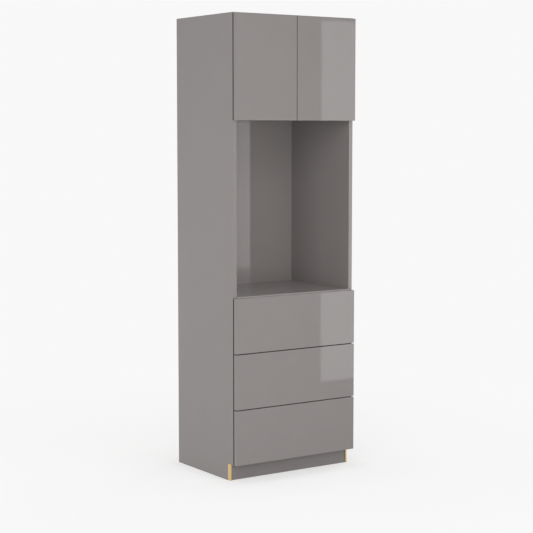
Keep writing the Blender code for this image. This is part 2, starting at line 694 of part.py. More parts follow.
def drawer(index, name, root):
    """One drawer: front, steel sides, floor and back, with a three-part runner at each side."""
    front_bottom = TOE_HEIGHT + index * DRAWER_PITCH
    under = front_bottom + DRAWER_LIFT
    runner_z = under + RAIL_HEIGHT
    slider = anchor(f"{name}_slide", (0, FRONT_FACE_Y, runner_z))
    carriage = anchor(f"{name}_runner_carriage", (0, RUNNER_FRONT_Y, runner_z))
    board(f"{name}_front", (-FRONT_HALF, FRONT_FACE_Y, front_bottom),
          (FRONT_HALF, FRONT_BACK_Y, front_bottom + DRAWER_FRONT_HEIGHT), "gloss_front", slider,
          FRONT_EDGE_RADIUS)
    box_front = FRONT_BACK_Y + FIT_GAP
    for side in (LEFT, RIGHT):
        word = side_name(side)
        section(f"{name}_{word}_side", side, drawer_side_outline(), box_front, RUNNER_REAR_Y, under,
                slider, "grey_steel")
        section(f"{name}_{word}_cabinet_rail", side, cabinet_rail_outline(), RUNNER_FRONT_Y,
                RUNNER_REAR_Y, runner_z, root, "zinc_steel")
        section(f"{name}_{word}_middle_rail", side, middle_rail_outline(), RUNNER_FRONT_Y,
                RUNNER_REAR_Y, runner_z, carriage, "zinc_steel")
    reach = INNER_HALF - DRAWER_INNER_WALL - FIT_GAP
    floor_top = under + DRAWER_FLOOR_TOP
    board(f"{name}_floor_board", (-reach, box_front, under + DRAWER_FLOOR_UNDER),
          (reach, RUNNER_REAR_Y, floor_top), "drawer_board", slider)
    board(f"{name}_back_board", (-reach, RUNNER_REAR_Y - DRAWER_BOARD_THICKNESS, floor_top + FIT_GAP),
          (reach, RUNNER_REAR_Y, under + DRAWER_SIDE_HEIGHT - DRAWER_BACK_DROP), "drawer_board", slider)


def build_cabinet():
    """Builds every piece of the cabinet."""
    root = anchor("cabinet_root", (0, 0, 0))
    for side in (LEFT, RIGHT):
        side_panel(side, root)
    cross_panels(root)
    back_panels(root)
    plinth(root)
    shelf_and_pins(root)
    for side in (LEFT, RIGHT):
        door(side, root)
        push_latch(side, root)
        wall_bracket(side, root)
    for index, name in enumerate(DRAWER_NAMES):
        drawer(index, name, root)


build_cabinet()
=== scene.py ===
"""Looks of the tall kitchen housing cabinet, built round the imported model.

Metres throughout: +Z is up, the fronts face -Y, and the origin lies on the floor under the cabinet's middle.
"""

import logging
import math
from dataclasses import dataclass, replace
from enum import Enum
from functools import cache, reduce
from typing import Sequence

import bmesh
import bpy
from mathutils import Matrix, Vector


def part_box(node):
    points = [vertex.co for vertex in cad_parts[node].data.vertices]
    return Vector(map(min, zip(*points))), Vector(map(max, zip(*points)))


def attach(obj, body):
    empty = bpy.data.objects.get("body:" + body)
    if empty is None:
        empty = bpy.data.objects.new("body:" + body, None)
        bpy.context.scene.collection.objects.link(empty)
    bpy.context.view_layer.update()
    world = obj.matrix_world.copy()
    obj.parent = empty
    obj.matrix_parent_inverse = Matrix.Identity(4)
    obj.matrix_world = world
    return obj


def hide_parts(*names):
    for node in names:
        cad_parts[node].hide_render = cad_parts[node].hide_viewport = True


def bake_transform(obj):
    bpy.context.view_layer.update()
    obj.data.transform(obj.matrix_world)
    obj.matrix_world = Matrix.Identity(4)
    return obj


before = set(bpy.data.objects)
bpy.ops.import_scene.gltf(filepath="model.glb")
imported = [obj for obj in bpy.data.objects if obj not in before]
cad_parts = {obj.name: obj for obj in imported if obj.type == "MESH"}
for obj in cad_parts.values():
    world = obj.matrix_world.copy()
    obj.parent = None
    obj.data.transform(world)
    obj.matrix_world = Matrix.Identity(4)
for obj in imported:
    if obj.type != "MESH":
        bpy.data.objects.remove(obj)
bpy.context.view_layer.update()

logger = logging.getLogger("housing_cabinet")

Colour = tuple[float, float, float]
Point = Sequence[float]
Piece = bpy.types.Object
Stops = tuple[tuple[float, Colour], ...]

# Colours and sizes that several finishes share
TAUPE: Colour = (0.250, 0.2306, 0.2245)
# Painted shade: near-black for the front edging in the gaps behind the fronts
PAINTED_GAP_SHADE: Colour = (0.022, 0.021, 0.021)
CHIP_SHADES: Stops = ((0.0, (0.14, 0.085, 0.045)), (0.45, (0.36, 0.24, 0.13)), (0.9, (0.62, 0.46, 0.29)))
FIBRE_SHADES: Stops = ((0.3, (0.16, 0.085, 0.042)), (0.55, (0.27, 0.155, 0.082)), (0.8, (0.38, 0.245, 0.14)))
PATTERN_MEAN = 0.5
CHIPS_DEPTH = 0.0004
EDGING = 0.0011

# Limits, gaps and facet counts of the meshes
MERGE_DISTANCE = 0.00001
FLAT_ANGLE = math.radians(0.5)
CREASE_ANGLE = math.radians(38)
SMOOTH_ANGLE = math.radians(50)
CUT_OVERRUN = 0.001
FIT_GAP = 0.0003
FLATS_WEIGHT = 100
ROUND_PROFILE = 0.5
ROUND_STEPS = 48
HEAD_STEPS = 28
PIN_STEPS = 20
CORNER_STEPS = 6
FRONT_EDGE_STEPS = 4
EDGE_STEPS = 3
SMALL_EDGE_STEPS = 2
FOLD_STEPS = 3
UP = Vector((0, 0, 1))
BACK = Vector((0, 1, 0))


class Side(Enum):
    """A side of the cabinet, as seen from the front; its value is the sign of X there."""

    LEFT = -1
    RIGHT = 1

    @property
    def word(self) -> str:
        """The side's word in the names of nodes and pieces."""
        return self.name.lower()

    @property
    def inward(self) -> Vector:
        """The direction from this side to the cabinet's middle."""
        return Vector((-self.value, 0, 0))


class Level(Enum):
    """Which of a door's two hinges."""

    UPPER = "upper"
    LOWER = "lower"


class Tier(Enum):
    """A drawer, from the floor upwards."""

    BOTTOM = "bottom_drawer"
    CENTRE = "centre_drawer"
    TOP = "top_drawer"


class Pattern(Enum):
    """How a grain is patterned; its value is the texture's node and the result that is read."""

    SOFT = ("ShaderNodeTexNoise", "Fac")
    CELLS = ("ShaderNodeTexVoronoi", "Distance")


class Shaping(Enum):
    """What a tool does to a piece."""

    CUT = "DIFFERENCE"
    ADD = "UNION"


# Node trees


class Value:
    """A node's result, on which Python's operators add Math nodes."""

    def __init__(self, graph: "Graph", socket: bpy.types.NodeSocket) -> None:
        """Keeps the graph that the value belongs to, and its socket."""
        self.graph = graph
        self.socket = socket

    def __add__(self, other: "Value | float") -> "Value":
        """Sum."""
        return self.graph.maths("ADD", self, other)

    def __radd__(self, other: float) -> "Value":
        """Sum with a number on the left."""
        return self.graph.maths("ADD", other, self)

    def __sub__(self, other: "Value | float") -> "Value":
        """Difference."""
        return self.graph.maths("SUBTRACT", self, other)

    def __rsub__(self, other: float) -> "Value":
        """Difference from a number on the left."""
        return self.graph.maths("SUBTRACT", other, self)

    def __mul__(self, other: "Value | float") -> "Value":
        """Product."""
        return self.graph.maths("MULTIPLY", self, other)

    def __rmul__(self, other: float) -> "Value":
        """Product with a number on the left."""
        return self.graph.maths("MULTIPLY", other, self)

    def __truediv__(self, other: "Value | float") -> "Value":
        """Quotient."""
        return self.graph.maths("DIVIDE", self, other)

    def __rtruediv__(self, other: float) -> "Value":
        """Quotient with a number on the left."""
        return self.graph.maths("DIVIDE", other, self)

    def __abs__(self) -> "Value":
        """Distance from zero."""
        return self.graph.maths("ABSOLUTE", self)

    def root(self) -> "Value":
        """Square root."""
        return self.graph.maths("SQRT", self)

    def least(self, other: "Value | float") -> "Value":
        """The smaller of two values."""
        return self.graph.maths("MINIMUM", self, other)

    def most(self, other: "Value | float") -> "Value":
        """The larger of two values."""
        return self.graph.maths("MAXIMUM", self, other)

    def rise(self, start: float, end: float) -> "Value":
        """A soft step from 0 at start to 1 at end; it falls if start lies above end.

        Args:
            start: Where the step is still 0.
            end: Where it has reached 1.

        Returns:
            The step, between 0 and 1.
        """
        low, high = sorted((start, end))
        settings = {"interpolation_type": "SMOOTHSTEP", "clamp": True}
        sockets = {"Value": self, "From Min": low, "From Max": high}
        risen = self.graph.add("ShaderNodeMapRange", settings, sockets)["Result"]
        return risen if start < end else 1 - risen

    def near(self, centre: float, reach: float) -> "Value":
        """1 at a centre, falling softly to 0 at a reach to either side of it."""
        return abs(self - centre).rise(reach, 0)


class Made:
    """A node that was added, whose results are read by socket name or identifier."""

    def __init__(self, graph: "Graph", node: bpy.types.Node) -> None:
        """Keeps the graph and the node."""
        self.graph = graph
        self.node = node

    def __getitem__(self, key: str | int) -> Value:
        """One of the node's results."""
        return Value(self.graph, find_socket(self.node.outputs, key))


def find_socket(sockets: bpy.types.bpy_prop_collection, key: str | int) -> bpy.types.NodeSocket:
    """Finds a socket by its place, its identifier or its name.

    Args:
        sockets: A node's inputs or outputs.
        key: The place, identifier or name.

    Returns:
        The socket.
    """
    if isinstance(key, str):
        for socket in sockets:
            if socket.identifier == key:
                return socket
    return sockets[key]


class Graph:
    """Adds nodes to one node tree."""

    def __init__(self, tree: bpy.types.NodeTree) -> None:
        """Keeps the tree."""
        self.tree = tree

    def add(self, kind: str, settings: dict | None = None, sockets: dict | None = None) -> Made:
        """Adds a node.

        Args:
            kind: The node's type.
            settings: Its settings, set first. "stops" holds a ramp's (position, colour) pairs.
            sockets: Values, links or lists of links for its inputs, by name, identifier or place.

        Returns:
            The node, whose results can be read.
        """
        node = self.tree.nodes.new(kind)
        for name, setting in (settings or {}).items():
            if name == "stops":
                self._fill_ramp(node, setting)
            else:
                setattr(node, name, setting)
        for key, given in (sockets or {}).items():
            self.feed(find_socket(node.inputs, key), given)
        return Made(self, node)

    def _fill_ramp(self, node: bpy.types.Node, stops: Stops) -> None:
        """Gives a colour ramp its stops.

        Args:
            node: The ramp.
            stops: Its (position, colour) pairs.
        """
        elements = node.color_ramp.elements
        while len(elements) < len(stops):
            elements.new(1)
        for element, (position, colour) in zip(elements, stops):
            element.position = position
            element.color = (*colour, 1)

    def feed(self, socket: bpy.types.NodeSocket, given: object) -> None:
        """Links a value to a socket, or sets the socket to a plain one.

        Args:
            socket: The input to feed.
            given: A Value, a list of them, or what the socket's default takes.
        """
        if isinstance(given, Value):
            self.tree.links.new(given.socket, socket)
        elif isinstance(given, list):
            for one in given:
                self.tree.links.new(one.socket, socket)
        elif socket.type == "RGBA" and len(given) == 3:
            socket.default_value = (*given, 1)
        else:
            socket.default_value = given

    def maths(self, operation: str, *operands: Value | float) -> Value:
        """One Math node's result, from its operation and its operands in order."""
        return self.add("ShaderNodeMath", {"operation": operation}, dict(enumerate(operands)))["Value"]


@dataclass(frozen=True)
class Grain:
    """A pattern that runs through a material, and what it does to a finish.

    Attributes:
        scale: How many features go to a metre.
        detail: How many finer layers it has.
        stretch: Factors on each axis; a small one draws the pattern out along it.
        tint: Its share in the colour.
        gloss: How far it moves the roughness, from lowest to highest.
        height: Its share in the relief.
        pattern: How it is patterned.
    """

    scale: float
    detail: float = 2
    stretch: tuple[float, float, float] = (1, 1, 1)
    tint: float = 0
    gloss: float = 0
    height: float = 0
    pattern: Pattern = Pattern.SOFT


class SurfaceGraph(Graph):
    """A material's nodes, with the steps that the finishes share."""

    def place(self) -> Value:
        """The point in the cabinet's own frame at rest."""
        return self.add("ShaderNodeTexCoord")["Object"]

    def axes(self) -> tuple[Value, Value, Value]:
        """The point's X, Y and Z."""
        split = self.add("ShaderNodeSeparateXYZ", None, {"Vector": self.place()})
        return split["X"], split["Y"], split["Z"]

    def pattern(self, grain: Grain) -> Value:
        """A grain's own pattern.

        Args:
            grain: The grain.

        Returns:
            The pattern, between 0 and 1.
        """
        stretched = {"Vector": self.place(), "Scale": grain.stretch}
        point = self.add("ShaderNodeMapping", None, stretched)["Vector"]
        kind, result = grain.pattern.value
        return self.add(kind, None, {"Vector": point, "Scale": grain.scale, "Detail": grain.detail})[result]

    def tone(self, *grains: Grain) -> Value:
        """The sum of some grains' patterns, each by its tint."""
        return sum(self.pattern(grain) * grain.tint for grain in grains)

    def blend(self, factor: Value, first: Value | Colour, second: Value | Colour) -> Value:
        """Mixes two colours.

        Args:
            factor: 0 for the first colour, 1 for the second.
            first: A colour or a link.
            second: A colour or a link.

        Returns:
            The mixed colour.
        """
        sockets = {"Factor_Float": factor, "A_Color": first, "B_Color": second}
        return self.add("ShaderNodeMix", {"data_type": "RGBA"}, sockets)["Result_Color"]

    def ramp(self, factor: Value, stops: Stops) -> Value:
        """A colour ramp over a factor."""
        return self.add("ShaderNodeValToRGB", {"stops": stops}, {"Fac": factor})["Color"]

    def relief(self, height: Value, depth: float) -> Value:
        """A normal that follows a height between 0 and 1, of a depth in metres."""
        sockets = {"Height": height, "Strength": 1.0, "Distance": depth}
        return self.add("ShaderNodeBump", None, sockets)["Normal"]

    def surface(self, sockets: dict[str, object]) -> None:
        """Feeds the material's own shader.

        Args:
            sockets: Plain values or links, by socket name.
        """
        for name, given in sockets.items():
            self.feed(self.tree.nodes["Principled BSDF"].inputs[name], given)


# Finishes


def scaled(colour: Colour, factor: float) -> Colour:
    """A colour, lighter or darker by a factor."""
    red, green, blue = colour
    return (red * factor, green * factor, blue * factor)


@dataclass
class Look:
    """What a finish shows at a point, while it is being painted.

    Attributes:
        graph: The material's nodes.
        colour: The colour.
        roughness: The roughness.
        height: The height of the relief.
    """

    graph: SurfaceGraph
    colour: Value
    roughness: Value | float
    height: Value

    def cover(self, mask: Value, colour: Value | Colour, duller: float = 0,
              raised: Value | None = None) -> None:
        """Lays another surface over a part of this one.

        Args:
            mask: 1 where the other surface lies, 0 elsewhere.
            colour: Its colour.
            duller: How much rougher it is.
            raised: Its own relief, or None.
        """
        self.colour = self.graph.blend(mask, self.colour, colour)
        if duller:
            self.roughness = self.roughness + mask * duller
        if raised is not None:
            self.height = self.height + mask * raised


@dataclass(frozen=True)
class Finish:
    """A procedural finish, whose grains vary its colour, roughness and relief.

    Attributes:
        name: The material's name.
        slot: The record's material slot that the finish stands for; not used.
        colour: Linear colour.
        roughness: Mean roughness.
        grains: The patterns that run through it.
        tones: Factors on the colour where the patterns are lowest and where they are highest.
        depth: Height of the relief.
        metallic: 1 for bare metal, 0 for the rest.
    """

    name: str
    slot: str
    colour: Colour
    roughness: float
    grains: tuple[Grain, ...] = ()
    tones: tuple[float, float] = (1, 1)
    depth: float = 0.00002
    metallic: float = 0

    @cache
    def material(self) -> bpy.types.Material:
        """The finish's material, built the first time that it is asked for.

        Returns:
            The material.
        """
        made = bpy.data.materials.new(self.name)
        made.use_nodes = True
        self.paint(SurfaceGraph(made.node_tree))
        return made

    def paint(self, graph: SurfaceGraph) -> None:
        """Builds the finish's nodes: the grains first, then what lies over them.

        Args:
            graph: The material's nodes.
        """
        patterns = [(grain, graph.pattern(grain)) for grain in self.grains]
        low, high = (scaled(self.colour, factor) for factor in self.tones)
        look = Look(
            graph,
            graph.blend(sum(pattern * grain.tint for grain, pattern in patterns if grain.tint), low, high),
            self.roughness + sum((pattern - PATTERN_MEAN) * grain.gloss
                                 for grain, pattern in patterns if grain.gloss),
            sum(pattern * grain.height for grain, pattern in patterns if grain.height),
        )
        self.add_details(look)
        graph.surface({"Base Color": look.colour, "Roughness": look.roughness, "Metallic": self.metallic,
                       "Normal": graph.relief(look.height, self.depth)})

    def add_details(self, look: Look) -> None:
        """Lays the finish's own details over its grains; a plain finish has none."""


@dataclass(frozen=True)
class Lacquer(Finish):
    """High-gloss lacquer with a trace of orange peel, and a hairline where the edging meets the face.

    Attributes:
        low: Lowest corner of the panel.
        high: Highest corner of the panel.
    """

    grains: tuple[Grain, ...] = (Grain(9, 3, tint=0.7), Grain(700, tint=0.3),
                                 Grain(16, 4, (1, 1, 0.35), gloss=0.0175), Grain(420, 1, height=1))
    tones: tuple[float, float] = (0.956, 1.044)
    depth: float = 0.0000022
    low: tuple[float, float, float] = (0, 0, 0)
    high: tuple[float, float, float] = (0, 0, 0)

    def add_details(self, look: Look) -> None:
        """Draws the hairline all round the panel.

        Args:
            look: What the lacquer shows so far.
        """
        hairline, strength, shade = 0.00016, 0.35, 0.45
        across, _, up = look.graph.axes()
        margin = (across - self.low[0]).least(self.high[0] - across)
        margin = margin.least(up - self.low[2]).least(self.high[2] - up)
        look.cover(margin.near(EDGING, hairline) * strength, scaled(self.colour, shade))


@dataclass(frozen=True)
class FacedBoard(Finish):
    """Faced particle board: satin-gloss faces, edging in front with painted shade behind the fronts, and raw
    chips where a cut edge is left bare.

    Attributes:
        band_y: Where the front edging meets the faces.
        raw_y: Beyond this Y the cut edge is bare, or None.
        raw_z: Below this Z the cut edge is bare, or None.
        bow: Slope by which the face leans sideways, which shifts what it mirrors.
        shadow_gaps: Heights between which the front edging is painted near-black, as painted shade of the
            front that stands before it.
    """

    grains: tuple[Grain, ...] = (Grain(7, 3, tint=0.6), Grain(1100, tint=0.4), Grain(20, 3, gloss=0.03),
                                 Grain(1500, height=0.5))
    tones: tuple[float, float] = (0.955, 1.045)
    depth: float = 0.000003
    band_y: float = 0
    raw_y: float | None = None
    raw_z: float | None = None
    bow: float = 0
    shadow_gaps: tuple[tuple[float, float], ...] = ()

    def add_details(self, look: Look) -> None:
        """Adds the joint of the edging, the painted shade on the edging behind the fronts, the lean and the
        bare edges.

        Args:
            look: What the board shows so far.
        """
        joint_reach, joint_strength, joint_shade = 0.00018, 0.3, 0.5
        edge_start, edge_full = 0.5, 0.9
        cut_fade, cut_duller, chip_relief = 0.0001, 0.5, 30
        across, back, up = look.graph.axes()
        look.cover(back.near(self.band_y, joint_reach) * joint_strength, scaled(self.colour, joint_shade))
        # Painted shade: the front edging behind the fronts is painted near-black for the shade in the gap
        if self.shadow_gaps:
            edge = back.rise(self.band_y - EDGING * edge_start, self.band_y - EDGING * edge_full)
            behind = sum(up.rise(low, low + EDGING) * up.rise(high, high - EDGING)
                         for low, high in self.shadow_gaps)
            look.cover(edge * behind, PAINTED_GAP_SHADE)
        if self.bow:
            look.height = look.height + across * (self.bow / self.depth)
        cuts = [axis.rise(place, place + fade)
                for axis, place, fade in ((back, self.raw_y, cut_fade), (up, self.raw_z, -cut_fade))
                if place is not None]
        if cuts:
            look.cover(reduce(Value.most, cuts), self.chips(look.graph), cut_duller,
                       look.graph.pattern(Grain(800, 3)) * chip_relief)

    def chips(self, graph: SurfaceGraph) -> Value:
        """The colour of the pressed chips in a bare edge.

        Args:
            graph: The material's nodes.

        Returns:
            The colour.
        """
        darker = 0.1
        flakes = Grain(420, 0, (1, 1, 1.8), tint=0.8, pattern=Pattern.CELLS)
        return graph.ramp(graph.tone(flakes, Grain(900, 3, tint=0.6)) - darker, CHIP_SHADES)


@dataclass(frozen=True)
class Hardboard(Finish):
    """Thin hardboard: faced towards the inside, with bare brown fibre behind.

    Attributes:
        rear_y: Where the bare side lies.
    """

    grains: tuple[Grain, ...] = (Grain(900, tint=1), Grain(1400, height=0.4))
    tones: tuple[float, float] = (0.96, 1.04)
    depth: float = 0.00001
    rear_y: float = 0

    def add_details(self, look: Look) -> None:
        """Lays the bare fibre over the rear side.

        Args:
            look: What the board shows so far.
        """
        skin, fade, duller, fibre_relief = 0.0006, 0.0002, 0.3, 8
        blotch: Colour = (0.22, 0.13, 0.07)
        graph = look.graph
        _, back, _ = graph.axes()
        fibres = graph.tone(Grain(260, 5, (1, 1, 0.25), tint=0.6), Grain(900, 3, tint=0.4))
        brown = graph.blend(graph.tone(Grain(5, tint=0.5)), graph.ramp(fibres, FIBRE_SHADES), blotch)
        bare = back.rise(self.rear_y - skin, self.rear_y - skin + fade)
        look.cover(bare, brown, duller, fibres * fibre_relief)


@dataclass(frozen=True)
class LinenBoard(Finish):
    """Drawer board with a fine linen print and a satin face."""

    grains: tuple[Grain, ...] = (Grain(260, 2, (1, 0.04, 1), 0.5, 0.05, 0.5),
                                 Grain(260, 2, (0.04, 1, 1), 0.5, 0.05, 0.5))
    tones: tuple[float, float] = (0.82, 1.16)


@dataclass(frozen=True)
class BrushedMetal(Finish):
    """Metal with fine lines along Z."""

    grains: tuple[Grain, ...] = (Grain(1600, 3, (1, 1, 0.02), 0.75, 0.14, 1),
                                 Grain(30, 3, tint=0.25, gloss=0.06))
    tones: tuple[float, float] = (0.88, 1.09)
    depth: float = 0.000006
    metallic: float = 1


@dataclass(frozen=True)
class ZincPlate(Finish):
    """Rolled and zinc-plated steel: cool grey with pale crystals and rolling marks along Y."""

    grains: tuple[Grain, ...] = (Grain(240, 0, (1, 0.5, 1), tint=0.5, pattern=Pattern.CELLS),
                                 Grain(900, 3, (1, 0.03, 1), 0.3, 0.1, 1),
                                 Grain(24, 4, tint=0.3, gloss=0.2))
    tones: tuple[float, float] = (0.8, 1.14)
    depth: float = 0.000008
    metallic: float = 1

    def add_details(self, look: Look) -> None:
        """Lets the plating tarnish in soft warm patches.

        Args:
            look: What the plating shows so far.
        """
        start, full, strength = 0.55, 0.75, 0.35
        tarnish: Colour = (0.6, 0.58, 0.5)
        look.cover(look.graph.pattern(Grain(11)).rise(start, full) * strength, tarnish)


@dataclass(frozen=True)
class PolishedMetal(Finish):
    """Bright plating with faint handling marks."""

    grains: tuple[Grain, ...] = (Grain(90, 5, tint=1, gloss=0.14), Grain(1800, height=1))
    tones: tuple[float, float] = (0.93, 1.05)
    depth: float = 0.000002
    metallic: float = 1


@dataclass(frozen=True)
class PowderCoat(Finish):
    """Powder coat on steel, with a fine even texture."""

    grains: tuple[Grain, ...] = (Grain(1300, tint=0.6, gloss=0.16, height=1), Grain(12, 3, tint=0.4))
    tones: tuple[float, float] = (0.88, 1.12)
    depth: float = 0.00003


@dataclass(frozen=True)
class MouldedPlastic(Finish):
    """Moulded plastic with a fine spark-eroded grain."""

    grains: tuple[Grain, ...] = (Grain(2200, tint=0.5, gloss=0.15, height=1), Grain(60, 3, tint=0.5))
    tones: tuple[float, float] = (0.92, 1.08)


def box_middle(node: str) -> Vector:
    """The middle of a node's box."""
    low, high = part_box(node)
    return (low + high) / 2


@dataclass(frozen=True)
class Places:
    """Places of the carcass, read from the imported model.

    Attributes:
        inner_half: From the middle to a side panel's inner face.
        front: Y of the carcass boards' front edges.
        rear: Y of the cabinet's back.
    """

    inner_half: float
    front: float
    rear: float

    @classmethod
    def read(cls) -> "Places":
        """Reads the places from the box of a side panel."""
        low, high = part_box("right_side_panel")
        return cls(low.x, low.y, high.y)


PLACES = Places.read()


def inside(side: Side, inward: float) -> float:
    """X at a distance inwards from a side panel's inner face."""
    return side.value * (PLACES.inner_half - inward)


class Finishes:
    """The cabinet's finishes."""

    carcass = FacedBoard("taupe_board", "carcass_board", TAUPE, 0.10, band_y=PLACES.front + EDGING,
                         raw_y=PLACES.rear - CHIPS_DEPTH)
    # Painted shade: the side panels' front edging is near-black behind the drawers and the doors
    side_panel = replace(carcass, name="taupe_side_board", raw_z=CHIPS_DEPTH, shadow_gaps=(
        (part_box("bottom_drawer_front")[0].z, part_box("top_drawer_front")[1].z),
        (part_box("left_door_panel")[0].z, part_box("left_door_panel")[1].z)))
    top_panel = replace(carcass, name="taupe_top_board", roughness=0.32)
    # Painted light: the niche's back and floor are lighter copies of the carcass taupe (1.14 and 1.4 times),
    # standing in for light that reaches into the niche
    niche_back = replace(carcass, name="taupe_niche_back", colour=scaled(TAUPE, 1.14), roughness=0.05,
                         band_y=PLACES.rear - EDGING, raw_y=None, bow=0.047)
    niche_floor = replace(carcass, name="taupe_niche_floor", colour=scaled(TAUPE, 1.4), roughness=0.26)
    shelf = replace(carcass, name="taupe_shelf", roughness=0.16,
                    band_y=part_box("cupboard_shelf")[0].y + EDGING,
                    raw_y=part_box("cupboard_shelf")[1].y - CHIPS_DEPTH)
    # Painted shade: the plinth is a darker copy of the carcass taupe (0.84 times), standing in for the shade
    # on the plinth
    plinth = replace(carcass, name="taupe_plinth", colour=scaled(TAUPE, 0.84), roughness=0.32,
                     band_y=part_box("plinth_board")[1].y, raw_y=None, raw_z=CHIPS_DEPTH)
    hardboard = Hardboard("brown_hardboard", "hardboard", scaled(TAUPE, 0.95), 0.4,
                          rear_y=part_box("cupboard_back_panel")[1].y)
    drawer_board = LinenBoard("linen_board", "drawer_board", (0.42, 0.415, 0.405), 0.42)
    gold = BrushedMetal("satin_gold", "gold_trim", (0.80, 0.585, 0.285), 0.30)
    zinc = ZincPlate("zinc_plate", "zinc_steel", (0.56, 0.57, 0.58), 0.34)
    nickel = PolishedMetal("bright_nickel", "nickel", (0.62, 0.60, 0.57), 0.20)
    powder = PowderCoat("grey_powder_coat", "grey_steel", (0.18, 0.18, 0.182), 0.42)
    latch = MouldedPlastic("grey_plastic", "latch_plastic", (0.30, 0.30, 0.30), 0.50)
    plunger = MouldedPlastic("white_plastic", "plunger_plastic", (0.70, 0.70, 0.69), 0.42)

    @staticmethod
    def front(node: str) -> Lacquer:
        """The lacquer of one front, which knows where the front's edges are."""
        low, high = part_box(node)
        return Lacquer(f"{node}_lacquer", "gloss_front", TAUPE, 0.035, low=tuple(low), high=tuple(high))


# Meshes, and how they join the model


def new_piece(name: str, work: bmesh.types.BMesh) -> Piece:
    """Makes a linked object of a finished bmesh, and frees it.

    Args:
        name: The object's name.
        work: The shape, in the cabinet's frame.

    Returns:
        The object.
    """
    mesh = bpy.data.meshes.new(name)
    work.to_mesh(mesh)
    work.free()
    piece = bpy.data.objects.new(name, mesh)
    bpy.context.scene.collection.objects.link(piece)
    return piece


def settle(piece: Piece) -> Piece:
    """Turns a piece's modifiers into plain mesh.

    Args:
        piece: A mesh object.

    Returns:
        The same object, with no modifier left.
    """
    depsgraph = bpy.context.evaluated_depsgraph_get()
    depsgraph.update()
    mesh = bpy.data.meshes.new_from_object(piece.evaluated_get(depsgraph), preserve_all_data_layers=True,
                                           depsgraph=depsgraph)
    piece.modifiers.clear()
    piece.data = mesh
    mesh.name = piece.name
    return piece


def smooth(piece: Piece, rounding: float = 0, steps: int = EDGE_STEPS,
           angle: float = SMOOTH_ANGLE) -> Piece:
    """Rounds a piece's creases and shades it so that its flats stay flat.

    Args:
        piece: A mesh object.
        rounding: Radius for the creases, or 0 to leave them.
        steps: Facets across a rounding.
        angle: Edges sharper than this stay sharp.

    Returns:
        The same object.
    """
    if rounding:
        bevel = piece.modifiers.new("rounding", "BEVEL")
        bevel.width = rounding
        bevel.segments = steps
        bevel.limit_method = "ANGLE"
        bevel.angle_limit = CREASE_ANGLE
        settle(piece)
    piece.data.shade_smooth()
    piece.data.set_sharp_from_angle(angle=angle)
    weighted = piece.modifiers.new("flats", "WEIGHTED_NORMAL")
    weighted.keep_sharp = True
    weighted.weight = FLATS_WEIGHT
    return settle(piece)


def carve(piece: Piece, tools: Sequence[Piece], shaping: Shaping = Shaping.CUT) -> Piece:
    """Cuts tools out of a piece, or adds them to it, and removes the tools.

    Args:
        piece: The piece to change.
        tools: Closed shapes.
        shaping: What the tools do to the piece.

    Returns:
        The same object.
    """
    for tool in tools:
        boolean = piece.modifiers.new(tool.name, "BOOLEAN")
        boolean.operation = shaping.value
        boolean.solver = "EXACT"
        boolean.object = tool
        settle(piece)
        bpy.data.objects.remove(tool, do_unlink=True)
    return piece


def block(name: str, corner: Point, opposite: Point, rounding: float = 0, steps: int = EDGE_STEPS) -> Piece:
    """A block between two corners with rounded edges.

    Args:
        name: The object's name.
        corner: One corner.
        opposite: The opposite corner.
        rounding: Edge radius.
        steps: Facets across an edge.

    Returns:
        The object.
    """
    corner, opposite = Vector(corner), Vector(opposite)
    work = bmesh.new()
    bmesh.ops.create_cube(work, size=1)
    bmesh.ops.scale(work, vec=[abs(reach) for reach in opposite - corner], verts=work.verts)
    bmesh.ops.translate(work, vec=(corner + opposite) / 2, verts=work.verts)
    if rounding:
        bmesh.ops.bevel(work, geom=work.edges[:], offset=rounding, segments=steps, profile=ROUND_PROFILE,
                        affect="EDGES", clamp_overlap=True)
    return new_piece(name, work)


def rod(name: str, start: Point, end: Point, radius: float, steps: int = ROUND_STEPS) -> Piece:
    """A cylinder between two points.

    Args:
        name: The object's name.
        start: Middle of its first end.
        end: Middle of its other end.
        radius: Its radius.
        steps: Facets round it.

    Returns:
        The object.
    """
    start, end = Vector(start), Vector(end)
    turn = UP.rotation_difference(end - start).to_matrix().to_4x4()
    work = bmesh.new()
    bmesh.ops.create_cone(work, cap_ends=True, segments=steps, radius1=radius, radius2=radius,
                          depth=(end - start).length, matrix=Matrix.Translation((start + end) / 2) @ turn)
    return new_piece(name, work)


def rod_along_y(name: str, middle: Vector, start: float, end: float, radius: float) -> Piece:
    """A cylinder about the line along Y through a point, from one Y to another."""
    return rod(name, (middle.x, start, middle.z), (middle.x, end, middle.z), radius)


def plate(name: str, outline: Sequence[Point], reach: Point) -> Piece:
    """A flat outline with a thickness.

    Args:
        name: The object's name.
        outline: Its corners, in order.
        reach: The thickness, as a vector.

    Returns:
        The object.
    """
    work = bmesh.new()
    face = work.faces.new([work.verts.new(corner) for corner in outline])
    swept = bmesh.ops.extrude_face_region(work, geom=[face])
    moved = [item for item in swept["geom"] if isinstance(item, bmesh.types.BMVert)]
    bmesh.ops.translate(work, vec=reach, verts=moved)
    bmesh.ops.recalc_face_normals(work, faces=work.faces)
    return new_piece(name, work)


def copy_of(node: str, name: str) -> Piece:
    """A merged copy of a CAD node, with its flat faces whole again.

    Args:
        node: The CAD node.
        name: The copy's name.

    Returns:
        The object.
    """
    work = bmesh.new()
    work.from_mesh(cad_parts[node].data)
    bmesh.ops.remove_doubles(work, verts=work.verts, dist=MERGE_DISTANCE)
    bmesh.ops.dissolve_limit(work, angle_limit=FLAT_ANGLE, verts=work.verts, edges=work.edges)
    return new_piece(name, work)


def joined(name: str, pieces: Sequence[Piece]) -> Piece:
    """Several finished pieces of one body as one object.

    Args:
        name: The new object's name.
        pieces: The objects, which are removed.

    Returns:
        The joined object.
    """
    work = bmesh.new()
    for piece in pieces:
        work.from_mesh(piece.data)
        bpy.data.objects.remove(piece, do_unlink=True)
    return new_piece(name, work)


